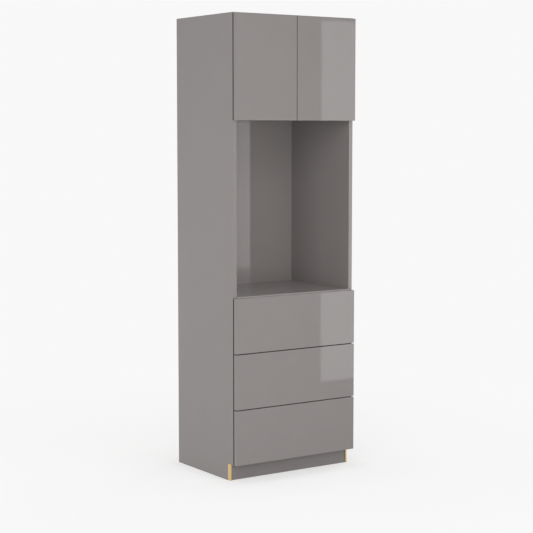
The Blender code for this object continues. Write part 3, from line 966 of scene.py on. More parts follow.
def install(piece: Piece, body: str, finish: Finish, *nodes: str) -> None:
    """Gives a piece its finish and its body, and hides the nodes that it stands for.

    Args:
        piece: The finished object.
        body: The CAD body that it rides on.
        finish: Its finish.
        nodes: The CAD nodes that it replaces, if any.
    """
    piece.data.materials.clear()
    piece.data.materials.append(finish.material())
    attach(piece, body)
    if nodes:
        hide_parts(*nodes)
    logger.info("%s: %d faces on %s", piece.name, len(piece.data.polygons), body)


def refine(node: str, name: str, body: str, finish: Finish, rounding: float = 0) -> None:
    """Replaces a CAD node by a copy with whole flat faces and smooth round ones.

    Args:
        node: The CAD node.
        name: The copy's name.
        body: The CAD body that it rides on.
        finish: Its finish.
        rounding: Radius for its creases, or 0 to leave them.
    """
    install(smooth(copy_of(node, name), rounding), body, finish, node)


def install_front(node: str, name: str, body: str, rounding: float, bores: Sequence[Piece] = ()) -> None:
    """Builds a lacquered front in place of its CAD node.

    Args:
        node: The front's CAD node.
        name: The new front's name.
        body: The CAD body that it rides on.
        rounding: Its edge radius.
        bores: What is cut out of it.
    """
    panel = block(name, *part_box(node), rounding, FRONT_EDGE_STEPS)
    install(smooth(carve(panel, bores)), body, Finishes.front(node), node)


def dress(node: str, finish: Finish) -> None:
    """Gives a CAD node that keeps its shape a finish.

    Args:
        node: The CAD node.
        finish: Its finish.
    """
    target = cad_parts[node]
    if not target.material_slots:
        target.data.materials.append(finish.material())
    for slot in target.material_slots:
        slot.material = finish.material()
    logger.info("%s: CAD shape in %s", node, finish.name)


# Shapes made with Geometry Nodes


class Recipe(Graph):
    """A Geometry Nodes tree with named inputs that ends in Realize Instances and Set Material."""

    def __init__(self, name: str, inputs: dict[str, str]) -> None:
        """Makes the tree.

        Args:
            name: The tree's name.
            inputs: Socket types of its sizes, by name.
        """
        tree = bpy.data.node_groups.new(name, "GeometryNodeTree")
        super().__init__(tree)
        face = tree.interface
        face.new_socket(name="Geometry", in_out="INPUT", socket_type="NodeSocketGeometry")
        face.new_socket(name="Geometry", in_out="OUTPUT", socket_type="NodeSocketGeometry")
        wanted = {**inputs, "Finish": "NodeSocketMaterial"}
        self.identifiers = {
            label: face.new_socket(name=label, in_out="INPUT", socket_type=kind).identifier
            for label, kind in wanted.items()
        }
        self.given = self.add("NodeGroupInput")

    def size(self, label: str) -> Value:
        """One of the tree's named inputs."""
        return self.given[self.identifiers[label]]

    def lifted(self, mesh: Value, height: Value) -> Value:
        """A mesh moved up by a height."""
        move = self.add("ShaderNodeCombineXYZ", None, {"Z": height})["Vector"]
        return self.add("GeometryNodeTransform", None, {"Geometry": mesh, "Translation": move})["Geometry"]

    def close(self, geometry: Value) -> None:
        """Ends the tree.

        Args:
            geometry: What the tree has made.
        """
        real = self.add("GeometryNodeRealizeInstances", None, {"Geometry": geometry})["Geometry"]
        sockets = {"Geometry": real, "Material": self.size("Finish")}
        dressed = self.add("GeometryNodeSetMaterial", None, sockets)["Geometry"]
        self.add("NodeGroupOutput", None, {"Geometry": dressed})

    def run(self, carrier: Piece, finish: Finish, sizes: dict[str, object]) -> None:
        """Runs the tree on a carrier, which becomes a plain mesh.

        Args:
            carrier: The object that holds the points or the outline.
            finish: The finish of the result.
            sizes: Values of the tree's named inputs.
        """
        modifier = carrier.modifiers.new(self.tree.name, "NODES")
        modifier.node_group = self.tree
        for label, given in {**sizes, "Finish": finish.material()}.items():
            modifier[self.identifiers[label]] = given
        settle(carrier)


@dataclass(frozen=True)
class Head:
    """A kind of screw head.

    Attributes:
        radius: Its radius.
        height: Its height.
        seed: What the random turns of such heads start from.
    """

    radius: float
    height: float
    seed: int = 7


@dataclass(frozen=True)
class Fastener:
    """Where a screw sits.

    Attributes:
        seat: The middle of the head's underside.
        facing: The way that the head looks.
    """

    seat: Vector
    facing: Vector


class ScrewHeads(Recipe):
    """Cross-recessed heads at a list of places, made by one Geometry Nodes tree."""

    def __init__(self) -> None:
        """Builds the tree: a head on every point, looking along its facing and turned at random about it."""
        sizes = ("Head Radius", "Head Height", "Recess Length", "Recess Width", "Recess Depth")
        super().__init__("cross_recessed_heads",
                         {**dict.fromkeys(sizes, "NodeSocketFloat"), "Seed": "NodeSocketInt"})
        facing = self.add("GeometryNodeInputNamedAttribute", {"data_type": "FLOAT_VECTOR"},
                          {"Name": "facing"})["Attribute"]
        upright = self.add("FunctionNodeAlignRotationToVector", {"axis": "Z"}, {"Vector": facing})["Rotation"]
        angle = self.add("FunctionNodeRandomValue", {"data_type": "FLOAT"},
                         {"Min_001": 0.0, "Max_001": math.pi / 2, "Seed": self.size("Seed")})["Value_001"]
        spin = self.add("FunctionNodeAxisAngleToRotation", None, {"Axis": UP, "Angle": angle})["Rotation"]
        turned = self.add("FunctionNodeRotateRotation", {"rotation_space": "LOCAL"},
                          {"Rotation": upright, "Rotate By": spin})["Rotation"]
        heads = self.add("GeometryNodeInstanceOnPoints", None,
                         {"Points": self.given["Geometry"], "Instance": self._head(), "Rotation": turned})
        self.close(heads["Instances"])

    def _head(self) -> Value:
        """One head: a chamfered disc with a cross cut into its top.

        Returns:
            Its mesh.
        """
        rim_share, chamfer_share = 0.45, 0.8
        radius, height = self.size("Head Radius"), self.size("Head Height")
        rim = self.add("GeometryNodeMeshCylinder", {"fill_type": "NGON"},
                       {"Vertices": HEAD_STEPS, "Radius": radius, "Depth": height * rim_share})["Mesh"]
        crown = self.add("GeometryNodeMeshCone", {"fill_type": "NGON"},
                         {"Vertices": HEAD_STEPS, "Radius Bottom": radius,
                          "Radius Top": radius * chamfer_share, "Depth": height * (1 - rim_share)})["Mesh"]
        parts = [self.lifted(rim, height * (rim_share / 2)), self.lifted(crown, height * rim_share)]
        disc = self.add("GeometryNodeMeshBoolean", {"operation": "UNION", "solver": "EXACT"},
                        {"Mesh 2": parts})["Mesh"]
        return self.add("GeometryNodeMeshBoolean", {"operation": "DIFFERENCE", "solver": "EXACT"},
                        {"Mesh 1": disc, "Mesh 2": self._cross(height)})["Mesh"]

    def _cross(self, height: Value) -> list[Value]:
        """The two crossed bars of the recess.

        Args:
            height: Height of the head's top.

        Returns:
            Their meshes.
        """
        length, width, depth = (self.size(f"Recess {label}") for label in ("Length", "Width", "Depth"))
        bars = []
        for across, along in ((length, width), (width, length)):
            extent = self.add("ShaderNodeCombineXYZ", None, {"X": across, "Y": along, "Z": depth * 2})
            bar = self.add("GeometryNodeMeshCube", None, {"Size": extent["Vector"]})["Mesh"]
            bars.append(self.lifted(bar, height))
        return bars

    def fit(self, name: str, body: str, places: Sequence[Fastener], finish: Finish, head: Head) -> None:
        """Fits heads of one kind to a body.

        Args:
            name: The piece's name.
            body: The CAD body that carries them.
            places: Where they sit.
            finish: Their finish.
            head: Their kind.
        """
        length_share, width_share, depth_share = 1.25, 0.28, 0.6
        work = bmesh.new()
        for place in places:
            work.verts.new(place.seat)
        carrier = new_piece(name, work)
        facing = carrier.data.attributes.new("facing", "FLOAT_VECTOR", "POINT")
        facing.data.foreach_set("vector", [part for place in places for part in place.facing])
        self.run(carrier, finish, {
            "Head Radius": head.radius, "Head Height": head.height,
            "Recess Length": head.radius * length_share, "Recess Width": head.radius * width_share,
            "Recess Depth": head.height * depth_share, "Seed": head.seed,
        })
        install(smooth(carrier, angle=CREASE_ANGLE), body, finish)


class FoldedSteel(Recipe):
    """Folded steel sections along Y, made by one Geometry Nodes tree from their outlines."""

    def __init__(self) -> None:
        """Builds the tree: the outline is filleted, filled, drawn out along Y and closed."""
        super().__init__("folded_section", {"Fold Radius": "NodeSocketFloat", "Length": "NodeSocketFloat",
                                            "Rear Place": "NodeSocketVector"})
        line = self.add("GeometryNodeMeshToCurve", None, {"Mesh": self.given["Geometry"]})["Curve"]
        folded = self.add("GeometryNodeFilletCurve", {"mode": "POLY"},
                          {"Curve": line, "Count": FOLD_STEPS, "Radius": self.size("Fold Radius"),
                           "Limit Radius": True})["Curve"]
        cap = self.add("GeometryNodeFillCurve", {"mode": "NGONS"}, {"Curve": folded})["Mesh"]
        drawn = self.add("GeometryNodeExtrudeMesh", {"mode": "FACES"},
                         {"Mesh": cap, "Offset Scale": self.size("Length"), "Individual": False})["Mesh"]
        closed = self.add("GeometryNodeFlipFaces", None, {"Mesh": cap})["Mesh"]
        whole = self.add("GeometryNodeJoinGeometry", None, {"Geometry": [drawn, closed]})["Geometry"]
        welded = self.add("GeometryNodeMergeByDistance", None,
                          {"Geometry": whole, "Distance": MERGE_DISTANCE})["Geometry"]
        self.close(self.add("GeometryNodeTransform", None,
                            {"Geometry": welded, "Rotation": (math.pi / 2, 0, 0),
                             "Translation": self.size("Rear Place")})["Geometry"])

    def fold(self, node: str, outline: Sequence[Point], side: Side, base_z: float, fold_radius: float,
             body: str, finish: Finish) -> None:
        """Makes the section that stands for a node.

        Args:
            node: The CAD node, which gives the section's ends.
            outline: (distance from the side panel, height) points.
            side: The cabinet's side that it is on.
            base_z: Where the outline's height starts.
            fold_radius: Radius of the folds.
            body: The CAD body.
            finish: Its finish.
        """
        low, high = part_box(node)
        work = bmesh.new()
        corners = [work.verts.new((-side.value * inward, up, 0)) for inward, up in outline]
        for start, end in zip(corners, corners[1:] + corners[:1]):
            work.edges.new((start, end))
        piece = new_piece(f"{node}_steel", work)
        place = (inside(side, 0), high.y, base_z)
        self.run(piece, finish, {"Fold Radius": fold_radius, "Length": high.y - low.y, "Rear Place": place})
        install(smooth(piece), body, finish, node)


# The cabinet's own sub-assemblies


@dataclass
class Carcass:
    """The boards, plinth, shelf and steel fittings that stay still.

    Attributes:
        screws: The heads' tree.
        body: The CAD body.
        trim_rounding: Edge radius of the gold bars.
        trim_groove: Width and depth of the shadow line down a gold bar's corner.
        head_drop: How far a sunk head lies below the board's face.
        cam: The cam fittings in the top panel.
        cam_insets: From the top panel's ends and from its long edges to a cam's middle.
        back_screw: The screws of the niche's back board.
        back_screws: How many of them go into each cross panel.
        back_screw_inset: From the back board's end to the first of them.
        bracket_steel: Thickness of the wall brackets.
        bracket_rounding: Edge radius of the wall brackets.
        bracket_screw: Their screws.
        bracket_screw_share: Where a screw sits on its leg, from the corner outwards.
    """

    screws: ScrewHeads
    body: str = "carcass"
    trim_rounding: float = 0.0005
    trim_groove: float = 0.0015
    head_drop: float = 0.00024
    cam: Head = Head(0.0075, 0.00096, 3)
    cam_insets: tuple[float, float] = (0.034, 0.0544)
    back_screw: Head = Head(0.0042, 0.00136, 5)
    back_screws: int = 4
    back_screw_inset: float = 0.060
    bracket_steel: float = 0.002
    bracket_rounding: float = 0.0004
    bracket_screw: Head = Head(0.0045, 0.0022)
    bracket_screw_share: float = 2 / 3

    def build(self) -> None:
        """Builds and dresses the carcass."""
        self.dress_boards()
        self.bore_top_panel()
        self.bore_niche_back()
        for side in Side:
            self.build_trim(side)
        for side in Side:
            for row in ("front", "rear"):
                pin = f"{row}_{side.word}_shelf_pin"
                refine(pin, f"{pin}_turned", self.body, Finishes.zinc)
            self.build_wall_bracket(side)

    def dress_boards(self) -> None:
        """Gives the boards that keep their CAD shape their finishes."""
        for node, finish in (
            ("left_side_panel", Finishes.side_panel), ("right_side_panel", Finishes.side_panel),
            ("niche_ceiling_panel", Finishes.carcass), ("bottom_panel", Finishes.carcass),
            ("niche_floor_panel", Finishes.niche_floor), ("cupboard_shelf", Finishes.shelf),
            ("plinth_board", Finishes.plinth), ("cupboard_back_panel", Finishes.hardboard),
            ("drawer_bay_back_panel", Finishes.hardboard),
        ):
            dress(node, finish)

    def sink_heads(self, node: str, board_name: str, heads_name: str, seats: Sequence[Vector], out: Vector,
                   head: Head, finish: Finish) -> None:
        """Replaces a board by one with round sinkings, and sets a zinc-plated head into each.

        Args:
            node: The board's CAD node.
            board_name: The new board's name.
            heads_name: The heads' name.
            seats: The middles of the sinkings on the board's face.
            out: The way that the face looks.
            head: The kind of head.
            finish: The board's finish.
        """
        sink = out * (head.height + self.head_drop)
        board = carve(copy_of(node, board_name), [
            rod(f"{board_name}_sink", seat - sink, seat + out * CUT_OVERRUN, head.radius + FIT_GAP)
            for seat in seats])
        install(smooth(board), self.body, finish, node)
        places = [Fastener(seat - sink, out) for seat in seats]
        self.screws.fit(heads_name, self.body, places, Finishes.zinc, head)

    def bore_top_panel(self) -> None:
        """Sinks four cam fittings into the top of the top panel."""
        low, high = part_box("top_panel")
        end_inset, edge_inset = self.cam_insets
        seats = [Vector((x, y, high.z)) for x in (low.x + end_inset, high.x - end_inset)
                 for y in (low.y + edge_inset, high.y - edge_inset)]
        self.sink_heads("top_panel", "top_board", "top_board_cams", seats, UP, self.cam, Finishes.top_panel)

    def bore_niche_back(self) -> None:
        """Sinks the screws that hold the niche's back board to its two cross panels."""
        _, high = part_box("niche_back_panel")
        reach = high.x - self.back_screw_inset
        steps = [-reach + 2 * reach * index / (self.back_screws - 1) for index in range(self.back_screws)]
        seats = [Vector((x, high.y, box_middle(node).z))
                 for node in ("niche_floor_panel", "niche_ceiling_panel") for x in steps]
        self.sink_heads("niche_back_panel", "niche_back_board", "niche_back_screws", seats, BACK,
                        self.back_screw, Finishes.niche_back)

    def build_trim(self, side: Side) -> None:
        """Builds a gold bar with a fine shadow line down its outer front corner.

        Args:
            side: The cabinet's side.
        """
        node = f"{side.word}_plinth_trim"
        low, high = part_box(node)
        outer, groove_y = high.x if side is Side.RIGHT else low.x, low.y + self.trim_groove
        bar = block(f"{side.word}_gold_bar", low, high, self.trim_rounding)
        groove = block(f"{node}_groove",
                       (outer + side.value * CUT_OVERRUN, low.y - CUT_OVERRUN, low.z - CUT_OVERRUN),
                       (outer - side.value * self.trim_groove, groove_y, high.z + CUT_OVERRUN))
        install(smooth(carve(bar, [groove])), self.body, Finishes.gold, node)

    def build_wall_bracket(self, side: Side) -> None:
        """Builds one steel angle with its two screws.

        Args:
            side: The cabinet's side.
        """
        node = f"{side.word}_wall_bracket"
        low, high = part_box(node)
        middle_x, reach = (low.x + high.x) / 2, (high - low) * self.bracket_screw_share
        refine(node, f"{node}_angle", self.body, Finishes.zinc, self.bracket_rounding)
        places = [Fastener(Vector((middle_x, high.y - self.bracket_steel, high.z - reach.z)), -BACK),
                  Fastener(Vector((middle_x, high.y - reach.y, high.z - self.bracket_steel)), -UP)]
        self.screws.fit(f"{node}_screws", self.body, places, Finishes.nickel, self.bracket_screw)


@dataclass
class ConcealedHinge:
    """One concealed hinge: arm and plate on the side panel, cup in the door and the links between.

    Attributes:
        side: The door's side.
        level: Which of its two hinges.
        screws: The heads' tree.
        screw: The hinge's screws.
        arm_rounding: Edge radius of the arm.
        arm_crest: Two (back, inward) points of the arm's sloping ridge, measured like the points of `at`.
        adjuster_backs: How far back the two adjusting screws sit on the ridge.
        adjuster_sink: Depth of their sinkings.
        adjuster_radius: Radius of their sinkings.
        plate_screw: Back, inward and up from the arm's middle to a plate screw.
        cup_screw_offset: From the cup's middle to a flange screw.
        cup_wall: Thickness of the cup's wall and floor.
        cup_rounding: Edge radius of the cup.
        flange: Thickness of the flange round the cup.
        flange_half_width: Half the flange's width.
        flange_corner: Radius of the flange's corners.
        damper_reach: From the cup's wall to the damper block's far and near faces.
        damper_half_height: Half the damper's height.
        damper_sink: How far the damper stays below the flange.
        damper_rounding: Edge radius of the damper.
        pin_radius: Radius of a link pin.
        pin_half_length: Half the length of a link pin.
        pin_offset: From the cup's middle to the first link pin; the second is a pin_pitch farther out.
        pin_pitch: From one link pin to the next.
        pin_depth: From the cup's outer floor to a pin's middle.
        link_starts: How far inward the two links leave the arm.
        link_start_back: How far back they leave it.
        link_width: Width of a link along Z.
        link_gap: Gap between the two strips of a link.
        link_thickness: Thickness of a link.
        link_steps: Facets along the link.
    """

    side: Side
    level: Level
    screws: ScrewHeads
    screw: Head = Head(0.0031, 0.0012)
    arm_rounding: float = 0.0005
    arm_crest: tuple[tuple[float, float], tuple[float, float]] = ((0.030, 0.014), (0.075, 0.009))
    adjuster_backs: tuple[float, float] = (0.040, 0.061)
    adjuster_sink: float = 0.0012
    adjuster_radius: float = 0.0036
    plate_screw: tuple[float, float, float] = (0.046, 0.0023, 0.017)
    cup_screw_offset: float = 0.0215
    cup_wall: float = 0.001
    cup_rounding: float = 0.0003
    flange: float = 0.001
    flange_half_width: float = 0.0095
    flange_corner: float = 0.003
    damper_reach: tuple[float, float] = (0.0045, 0.0105)
    damper_half_height: float = 0.0075
    damper_sink: float = 0.0028
    damper_rounding: float = 0.0012
    pin_radius: float = 0.0011
    pin_half_length: float = 0.0085
    pin_offset: float = 0.0035
    pin_pitch: float = 0.0050
    pin_depth: float = 0.0042
    link_starts: tuple[float, float] = (0.0105, 0.0065)
    link_start_back: float = 0.0035
    link_width: float = 0.0036
    link_gap: float = 0.0022
    link_thickness: float = 0.0014
    link_steps: int = 36

    def __post_init__(self) -> None:
        """Names the hinge and finds its arm and its cup."""
        self.stem = f"{self.side.word}_{self.level.value}_hinge"
        self.door = f"{self.side.word}_door"
        self.arm_z = box_middle(f"{self.stem}_arm").z
        self.cup_low, self.cup_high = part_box(f"{self.stem}_cup")
        self.cup_middle = (self.cup_low + self.cup_high) / 2
        self.cup_radius = (self.cup_high.x - self.cup_low.x) / 2

    def at(self, inward: float, back: float, up: float = 0) -> Vector:
        """A point by its distance from the side panel, behind the carcass front and above the arm."""
        return Vector((inside(self.side, inward), PLACES.front + back, self.arm_z + up))

    def build(self) -> None:
        """Builds and dresses the hinge."""
        self.build_arm()
        self.build_cup()
        self.build_cup_fittings()
        self.build_links()

    def crest(self, back: float) -> float:
        """How far inward the arm's ridge lies at a distance behind the carcass front."""
        (first_back, first), (last_back, last) = self.arm_crest
        return first + (last - first) * (back - first_back) / (last_back - first_back)

    def build_arm(self) -> None:
        """Builds the arm with its plate, two sunk adjusting screws and two plate screws."""
        inward, sink = self.side.inward, self.adjuster_sink
        floors = [self.at(self.crest(back) - sink, back) for back in self.adjuster_backs]
        arm = carve(copy_of(f"{self.stem}_arm", f"{self.stem}_arm_body"), [
            rod(f"{self.stem}_sink", floor, floor + inward * sink * 2, self.adjuster_radius)
            for floor in floors])
        smooth(arm, self.arm_rounding, SMALL_EDGE_STEPS)
        install(arm, "carcass", Finishes.nickel, f"{self.stem}_arm")
        back, near, up = self.plate_screw
        seats = floors + [self.at(near, back, offset) for offset in (-up, up)]
        self.screws.fit(f"{self.stem}_arm_screws", "carcass", [Fastener(seat, inward) for seat in seats],
                        Finishes.zinc, self.screw)

    def build_cup(self) -> None:
        """Builds the cup with its flange and its screws."""
        name, middle = f"{self.stem}_cup_body", self.cup_middle
        radius, rear, front = self.cup_radius, self.cup_high.y, self.cup_low.y
        cup = block(name, (middle.x - self.flange_half_width, rear - self.flange, self.cup_low.z),
                    (middle.x + self.flange_half_width, rear, self.cup_high.z))
        self.round_corners(cup)
        carve(cup, [rod_along_y(f"{name}_outside", middle, front, rear, radius)], Shaping.ADD)
        carve(cup, [rod_along_y(f"{name}_inside", middle, front + self.cup_wall, rear + CUT_OVERRUN,
                                radius - self.cup_wall)])
        smooth(cup, self.cup_rounding, SMALL_EDGE_STEPS)
        install(cup, self.door, Finishes.nickel, f"{self.stem}_cup")
        places = [Fastener(Vector((middle.x, rear, middle.z + up)), BACK)
                  for up in (-self.cup_screw_offset, self.cup_screw_offset)]
        self.screws.fit(f"{self.stem}_cup_screws", self.door, places, Finishes.zinc, self.screw)

    def round_corners(self, flange: Piece) -> None:
        """Rounds the four corners of the flange.

        Args:
            flange: The flange as a block.
        """
        work = bmesh.new()
        work.from_mesh(flange.data)
        along_y = [edge for edge in work.edges
                   if abs(edge.verts[0].co.y - edge.verts[1].co.y) > self.flange / 2]
        bmesh.ops.bevel(work, geom=along_y, offset=self.flange_corner, segments=CORNER_STEPS,
                        profile=ROUND_PROFILE, affect="EDGES")
        work.to_mesh(flange.data)
        work.free()

    def build_cup_fittings(self) -> None:
        """Builds the damper block and the link pins in the cup."""
        low, high, middle = self.cup_low, self.cup_high, self.cup_middle
        tall = UP * self.damper_half_height
        far, near = (middle.x - self.side.value * (self.cup_radius - reach) for reach in self.damper_reach)
        damper = block(f"{self.stem}_damper",
                       Vector((far, low.y + self.cup_wall + FIT_GAP, middle.z)) - tall,
                       Vector((near, high.y - self.damper_sink, middle.z)) + tall, self.damper_rounding)
        install(smooth(damper), self.door, Finishes.latch)
        reach = UP * self.pin_half_length
        pins = [rod(f"{self.stem}_pin", self.pin_place(index) - reach, self.pin_place(index) + reach,
                    self.pin_radius, PIN_STEPS) for index in range(len(self.link_starts))]
        install(smooth(joined(f"{self.stem}_pins", pins), angle=CREASE_ANGLE), self.door, Finishes.zinc)

    def pin_place(self, index: int) -> Vector:
        """Middle of one of the link pins, counted from the cup's middle outwards."""
        outward = self.side.value * (self.pin_offset + self.pin_pitch * index)
        return Vector((self.cup_middle.x + outward, self.cup_low.y + self.pin_depth, self.cup_middle.z))

    def build_links(self) -> None:
        """Builds the links, a wide one and a pair, which run from the arm's nose to the pins in the cup."""
        pitch = self.link_width + self.link_gap
        shapes = ((self.link_width + pitch, (0,)), (self.link_width, (-1, 1)))
        for index, (inward, (width, steps)) in enumerate(zip(self.link_starts, shapes)):
            start, end = self.at(inward, self.link_start_back), self.pin_place(index)
            link = joined(f"{self.stem}_link_{index}", [
                self.strip(f"{self.stem}_strip", start, end, step * pitch, width) for step in steps])
            link.data.materials.append(Finishes.nickel.material())
            smooth(link, angle=CREASE_ANGLE)
            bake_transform(link)
            logger.info("%s bends between carcass and %s", link.name, self.door)

    def strip(self, name: str, start: Vector, end: Vector, up: float, width: float) -> Piece:
        """A flat strip with many facets along it.

        Args:
            name: The object's name.
            start: Where it leaves the arm.
            end: Its pin in the cup.
            up: How far above the hinge's middle it lies.
            width: Its width along Z.

        Returns:
            The object.
        """
        along, rise = end - start, UP * (width / 2)
        square = Vector((-along.y, along.x, 0)).normalized() * (self.link_thickness / 2)
        offsets = (square + rise, square - rise, -square - rise, -square + rise)
        work = bmesh.new()
        middles = [start + along * (step / self.link_steps) + UP * up for step in range(self.link_steps + 1)]
        rings = [[work.verts.new(middle + offset) for offset in offsets] for middle in middles]
        for first, second in zip(rings, rings[1:]):
            for here, there in zip(range(4), (1, 2, 3, 0)):
                work.faces.new((first[here], first[there], second[there], second[here]))
        work.faces.new(rings[0])
        work.faces.new(rings[-1][::-1])
        bmesh.ops.recalc_face_normals(work, faces=work.faces)
        return new_piece(name, work)


@dataclass
class Door:
    """One lacquered door with its two hinges.

    Attributes:
        side: The door's side.
        screws: The heads' tree.
        rounding: Edge radius of the panel.
    """

    side: Side
    screws: ScrewHeads
    rounding: float = 0.001

    def build(self) -> None:
        """Builds and dresses the door, with a bore for each hinge's cup."""
        body = f"{self.side.word}_door"
        node = f"{body}_panel"
        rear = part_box(node)[1].y + CUT_OVERRUN
        hinges = [ConcealedHinge(self.side, level, self.screws) for level in Level]
        bores = [rod_along_y(f"{hinge.stem}_bore", hinge.cup_middle, hinge.cup_low.y - FIT_GAP, rear,
                             hinge.cup_radius + FIT_GAP) for hinge in hinges]
        install_front(node, f"{body}_lacquered", body, self.rounding, bores)
        for hinge in hinges:
            hinge.build()


@dataclass
class PushLatch:
    """One push latch under the top panel.

    Attributes:
        side: The latch's side.
        screws: The heads' tree.
        screw: The latch's screw.
        screw_share: How far back along the housing its screw sits.
    """

    side: Side
    screws: ScrewHeads
    screw: Head = Head(0.0034, 0.0014)
    screw_share: float = 0.72

    def build(self) -> None:
        """Builds the housing, its screw and the sprung plunger."""
        stem = f"{self.side.word}_latch"
        housing, plunger = f"{stem}_body", f"{stem}_plunger"
        refine(housing, f"{stem}_housing", "carcass", Finishes.latch)
        low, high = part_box(housing)
        seat = Vector(((low.x + high.x) / 2, low.y + (high.y - low.y) * self.screw_share, low.z))
        self.screws.fit(f"{stem}_screw", "carcass", [Fastener(seat, -UP)], Finishes.zinc, self.screw)
        refine(plunger, f"{stem}_pin", plunger, Finishes.plunger)


@dataclass
class Drawer:
    """One drawer: lacquered front, folded steel sides, boards and its runners.

    Attributes:
        tier: Which drawer.
        steel_work: The folding tree.
        screws: The heads' tree.
        rounding: Edge radius of the front.
        steel: Sheet thickness.
        slack: Gap between one rail and the next.
        fold_radius: Radius of the folds.
        rail_half: Half the height of the cabinet rail.
        rail_reach: From the side panel to the cabinet rail's lips.
        rail_height: From the lower edge of the steel side to the runner's middle.
        wall_start: From the side panel to the steel side.
        wall_width: Width of the steel side.
        foot_height: Height of the foot that carries the floor board.
        foot_reach: How far the foot stands inwards.
        bead_depth: Depth of the long bead in the inner wall.
        bead_slope: Height over which the bead reaches its depth.
        bead_shares: The bead's lower and upper edge, as shares of the side's height.
        rail_screw: The cabinet rails' screws.
        rail_screw_shares: Where they sit along the rail.
        stop_length: Length of the runner stops.
        stop_rounding: Edge radius of the runner stops.
        cap_length: Length of the oval cap on the inner wall.
        cap_height: Height of the cap.
        cap_proud: How far the cap stands proud.
        cap_front: From a side's front end to the cap's middle.
        cap_height_share: Where the cap sits between the side's lower and upper edge.
        cap_arc_steps: Facets round each end of the cap.
    """

    tier: Tier
    steel_work: FoldedSteel
    screws: ScrewHeads
    rounding: float = 0.001
    steel: float = 0.0012
    slack: float = 0.0005
    fold_radius: float = 0.0005
    rail_half: float = 0.020
    rail_reach: float = 0.0112
    rail_height: float = 0.030
    wall_start: float = 0.0120
    wall_width: float = 0.0125
    foot_height: float = 0.012
    foot_reach: float = 0.010
    bead_depth: float = 0.0008
    bead_slope: float = 0.0012
    bead_shares: tuple[float, float] = (0.58, 0.66)
    rail_screw: Head = Head(0.0038, 0.0016, 11)
    rail_screw_shares: tuple[float, ...] = (0.06, 0.34, 0.62, 0.93)
    stop_length: float = 0.009
    stop_rounding: float = 0.0004
    cap_length: float = 0.026
    cap_height: float = 0.011
    cap_proud: float = 0.0007
    cap_front: float = 0.058
    cap_height_share: float = 0.83
    cap_arc_steps: int = 10

    def __post_init__(self) -> None:
        """Names the drawer's bodies, and finds its heights and the places of its rails."""
        self.name = self.tier.value
        self.carriage = f"{self.name}_runner_carriage"
        self.low, self.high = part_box(f"{self.name}_left_side")
        self.runner_z = self.low.z + self.rail_height
        self.step = self.steel + self.slack
        self.near, self.far = FIT_GAP + self.step, self.rail_reach - self.slack
        self.web = (self.near + self.far - self.steel) / 2

    def build(self) -> None:
        """Builds and dresses the drawer."""
        install_front(f"{self.name}_front", f"{self.name}_lacquered_front", self.name, self.rounding)
        for board in ("floor_board", "back_board"):
            dress(f"{self.name}_{board}", Finishes.drawer_board)
        for side in Side:
            self.build_side(side)
        self.fit_screws()
        self.fit_stops()
        caps = [self.cap(side) for side in Side]
        install(smooth(joined(f"{self.name}_side_caps", caps)), self.name, Finishes.latch)

    def cabinet_rail(self) -> list[Point]:
        """Outline of the channel on the side panel."""
        half, inner, web = self.rail_half, self.rail_half - self.steel, FIT_GAP + self.steel
        return [(FIT_GAP, -half), (self.rail_reach, -half), (self.rail_reach, -inner), (web, -inner),
                (web, inner), (self.rail_reach, inner), (self.rail_reach, half), (FIT_GAP, half)]

    def middle_rail(self) -> list[Point]:
        """Outline of the H between the channel and the drawer's flanges.

        Returns:
            Its points.
        """
        near, far, web, half = self.near, self.far, self.web, self.rail_half - self.step
        inner = half - self.steel
        return [(near, -half), (far, -half), (far, -inner), (web + self.steel, -inner),
                (web + self.steel, inner), (far, inner), (far, half), (near, half), (near, inner),
                (web, inner), (web, -inner), (near, -inner)]

    def drawer_side(self) -> list[Point]:
        """Outline of the double-walled side, with a long bead in its inner wall.

        Returns:
            Its points.
        """
        steel, top, foot, depth = self.steel, self.high.z - self.low.z, self.foot_height, self.bead_depth
        outer, inner = self.wall_start, self.wall_start + self.wall_width
        flange_half = self.rail_half - 2 * self.step
        upper, lower = self.rail_height + flange_half, self.rail_height - flange_half
        tip = self.web + self.step
        bead_low, bead_high = (top * share for share in self.bead_shares)
        bead = [(0, bead_low), (depth, bead_low + self.bead_slope), (depth, bead_high - self.bead_slope),
                (0, bead_high)]
        hidden_wall = [(inner - steel - sunk, height) for sunk, height in reversed(bead)]
        shown_wall = [(inner - sunk, height) for sunk, height in bead]
        return [(outer, 0), (outer + steel, 0), (outer + steel, top - steel), (inner - steel, top - steel),
                *hidden_wall, (inner - steel, foot), (inner + self.foot_reach, foot),
                (inner + self.foot_reach, foot + steel), (inner, foot + steel), *shown_wall, (inner, top),
                (outer, top), (outer, upper), (tip, upper), (tip, upper - steel), (outer, upper - steel),
                (outer, lower + steel), (tip, lower + steel), (tip, lower), (outer, lower)]

    def build_side(self, side: Side) -> None:
        """Builds the steel side and the two rails of one side.

        Args:
            side: The cabinet's side.
        """
        for part, outline, base_z, body, finish in (
            ("side", self.drawer_side(), self.low.z, self.name, Finishes.powder),
            ("cabinet_rail", self.cabinet_rail(), self.runner_z, "carcass", Finishes.zinc),
            ("middle_rail", self.middle_rail(), self.runner_z, self.carriage, Finishes.zinc),
        ):
            node = f"{self.name}_{side.word}_{part}"
            self.steel_work.fold(node, outline, side, base_z, self.fold_radius, body, finish)

    def fit_screws(self) -> None:
        """Fits the screws of the cabinet rails."""
        low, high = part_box(f"{self.name}_left_cabinet_rail")
        web = FIT_GAP + self.steel
        places = [Fastener(Vector((inside(side, web), low.y + (high.y - low.y) * share, self.runner_z)),
                           side.inward)
                  for side in Side for share in self.rail_screw_shares]
        self.screws.fit(f"{self.name}_rail_screws", "carcass", places, Finishes.nickel, self.rail_screw)

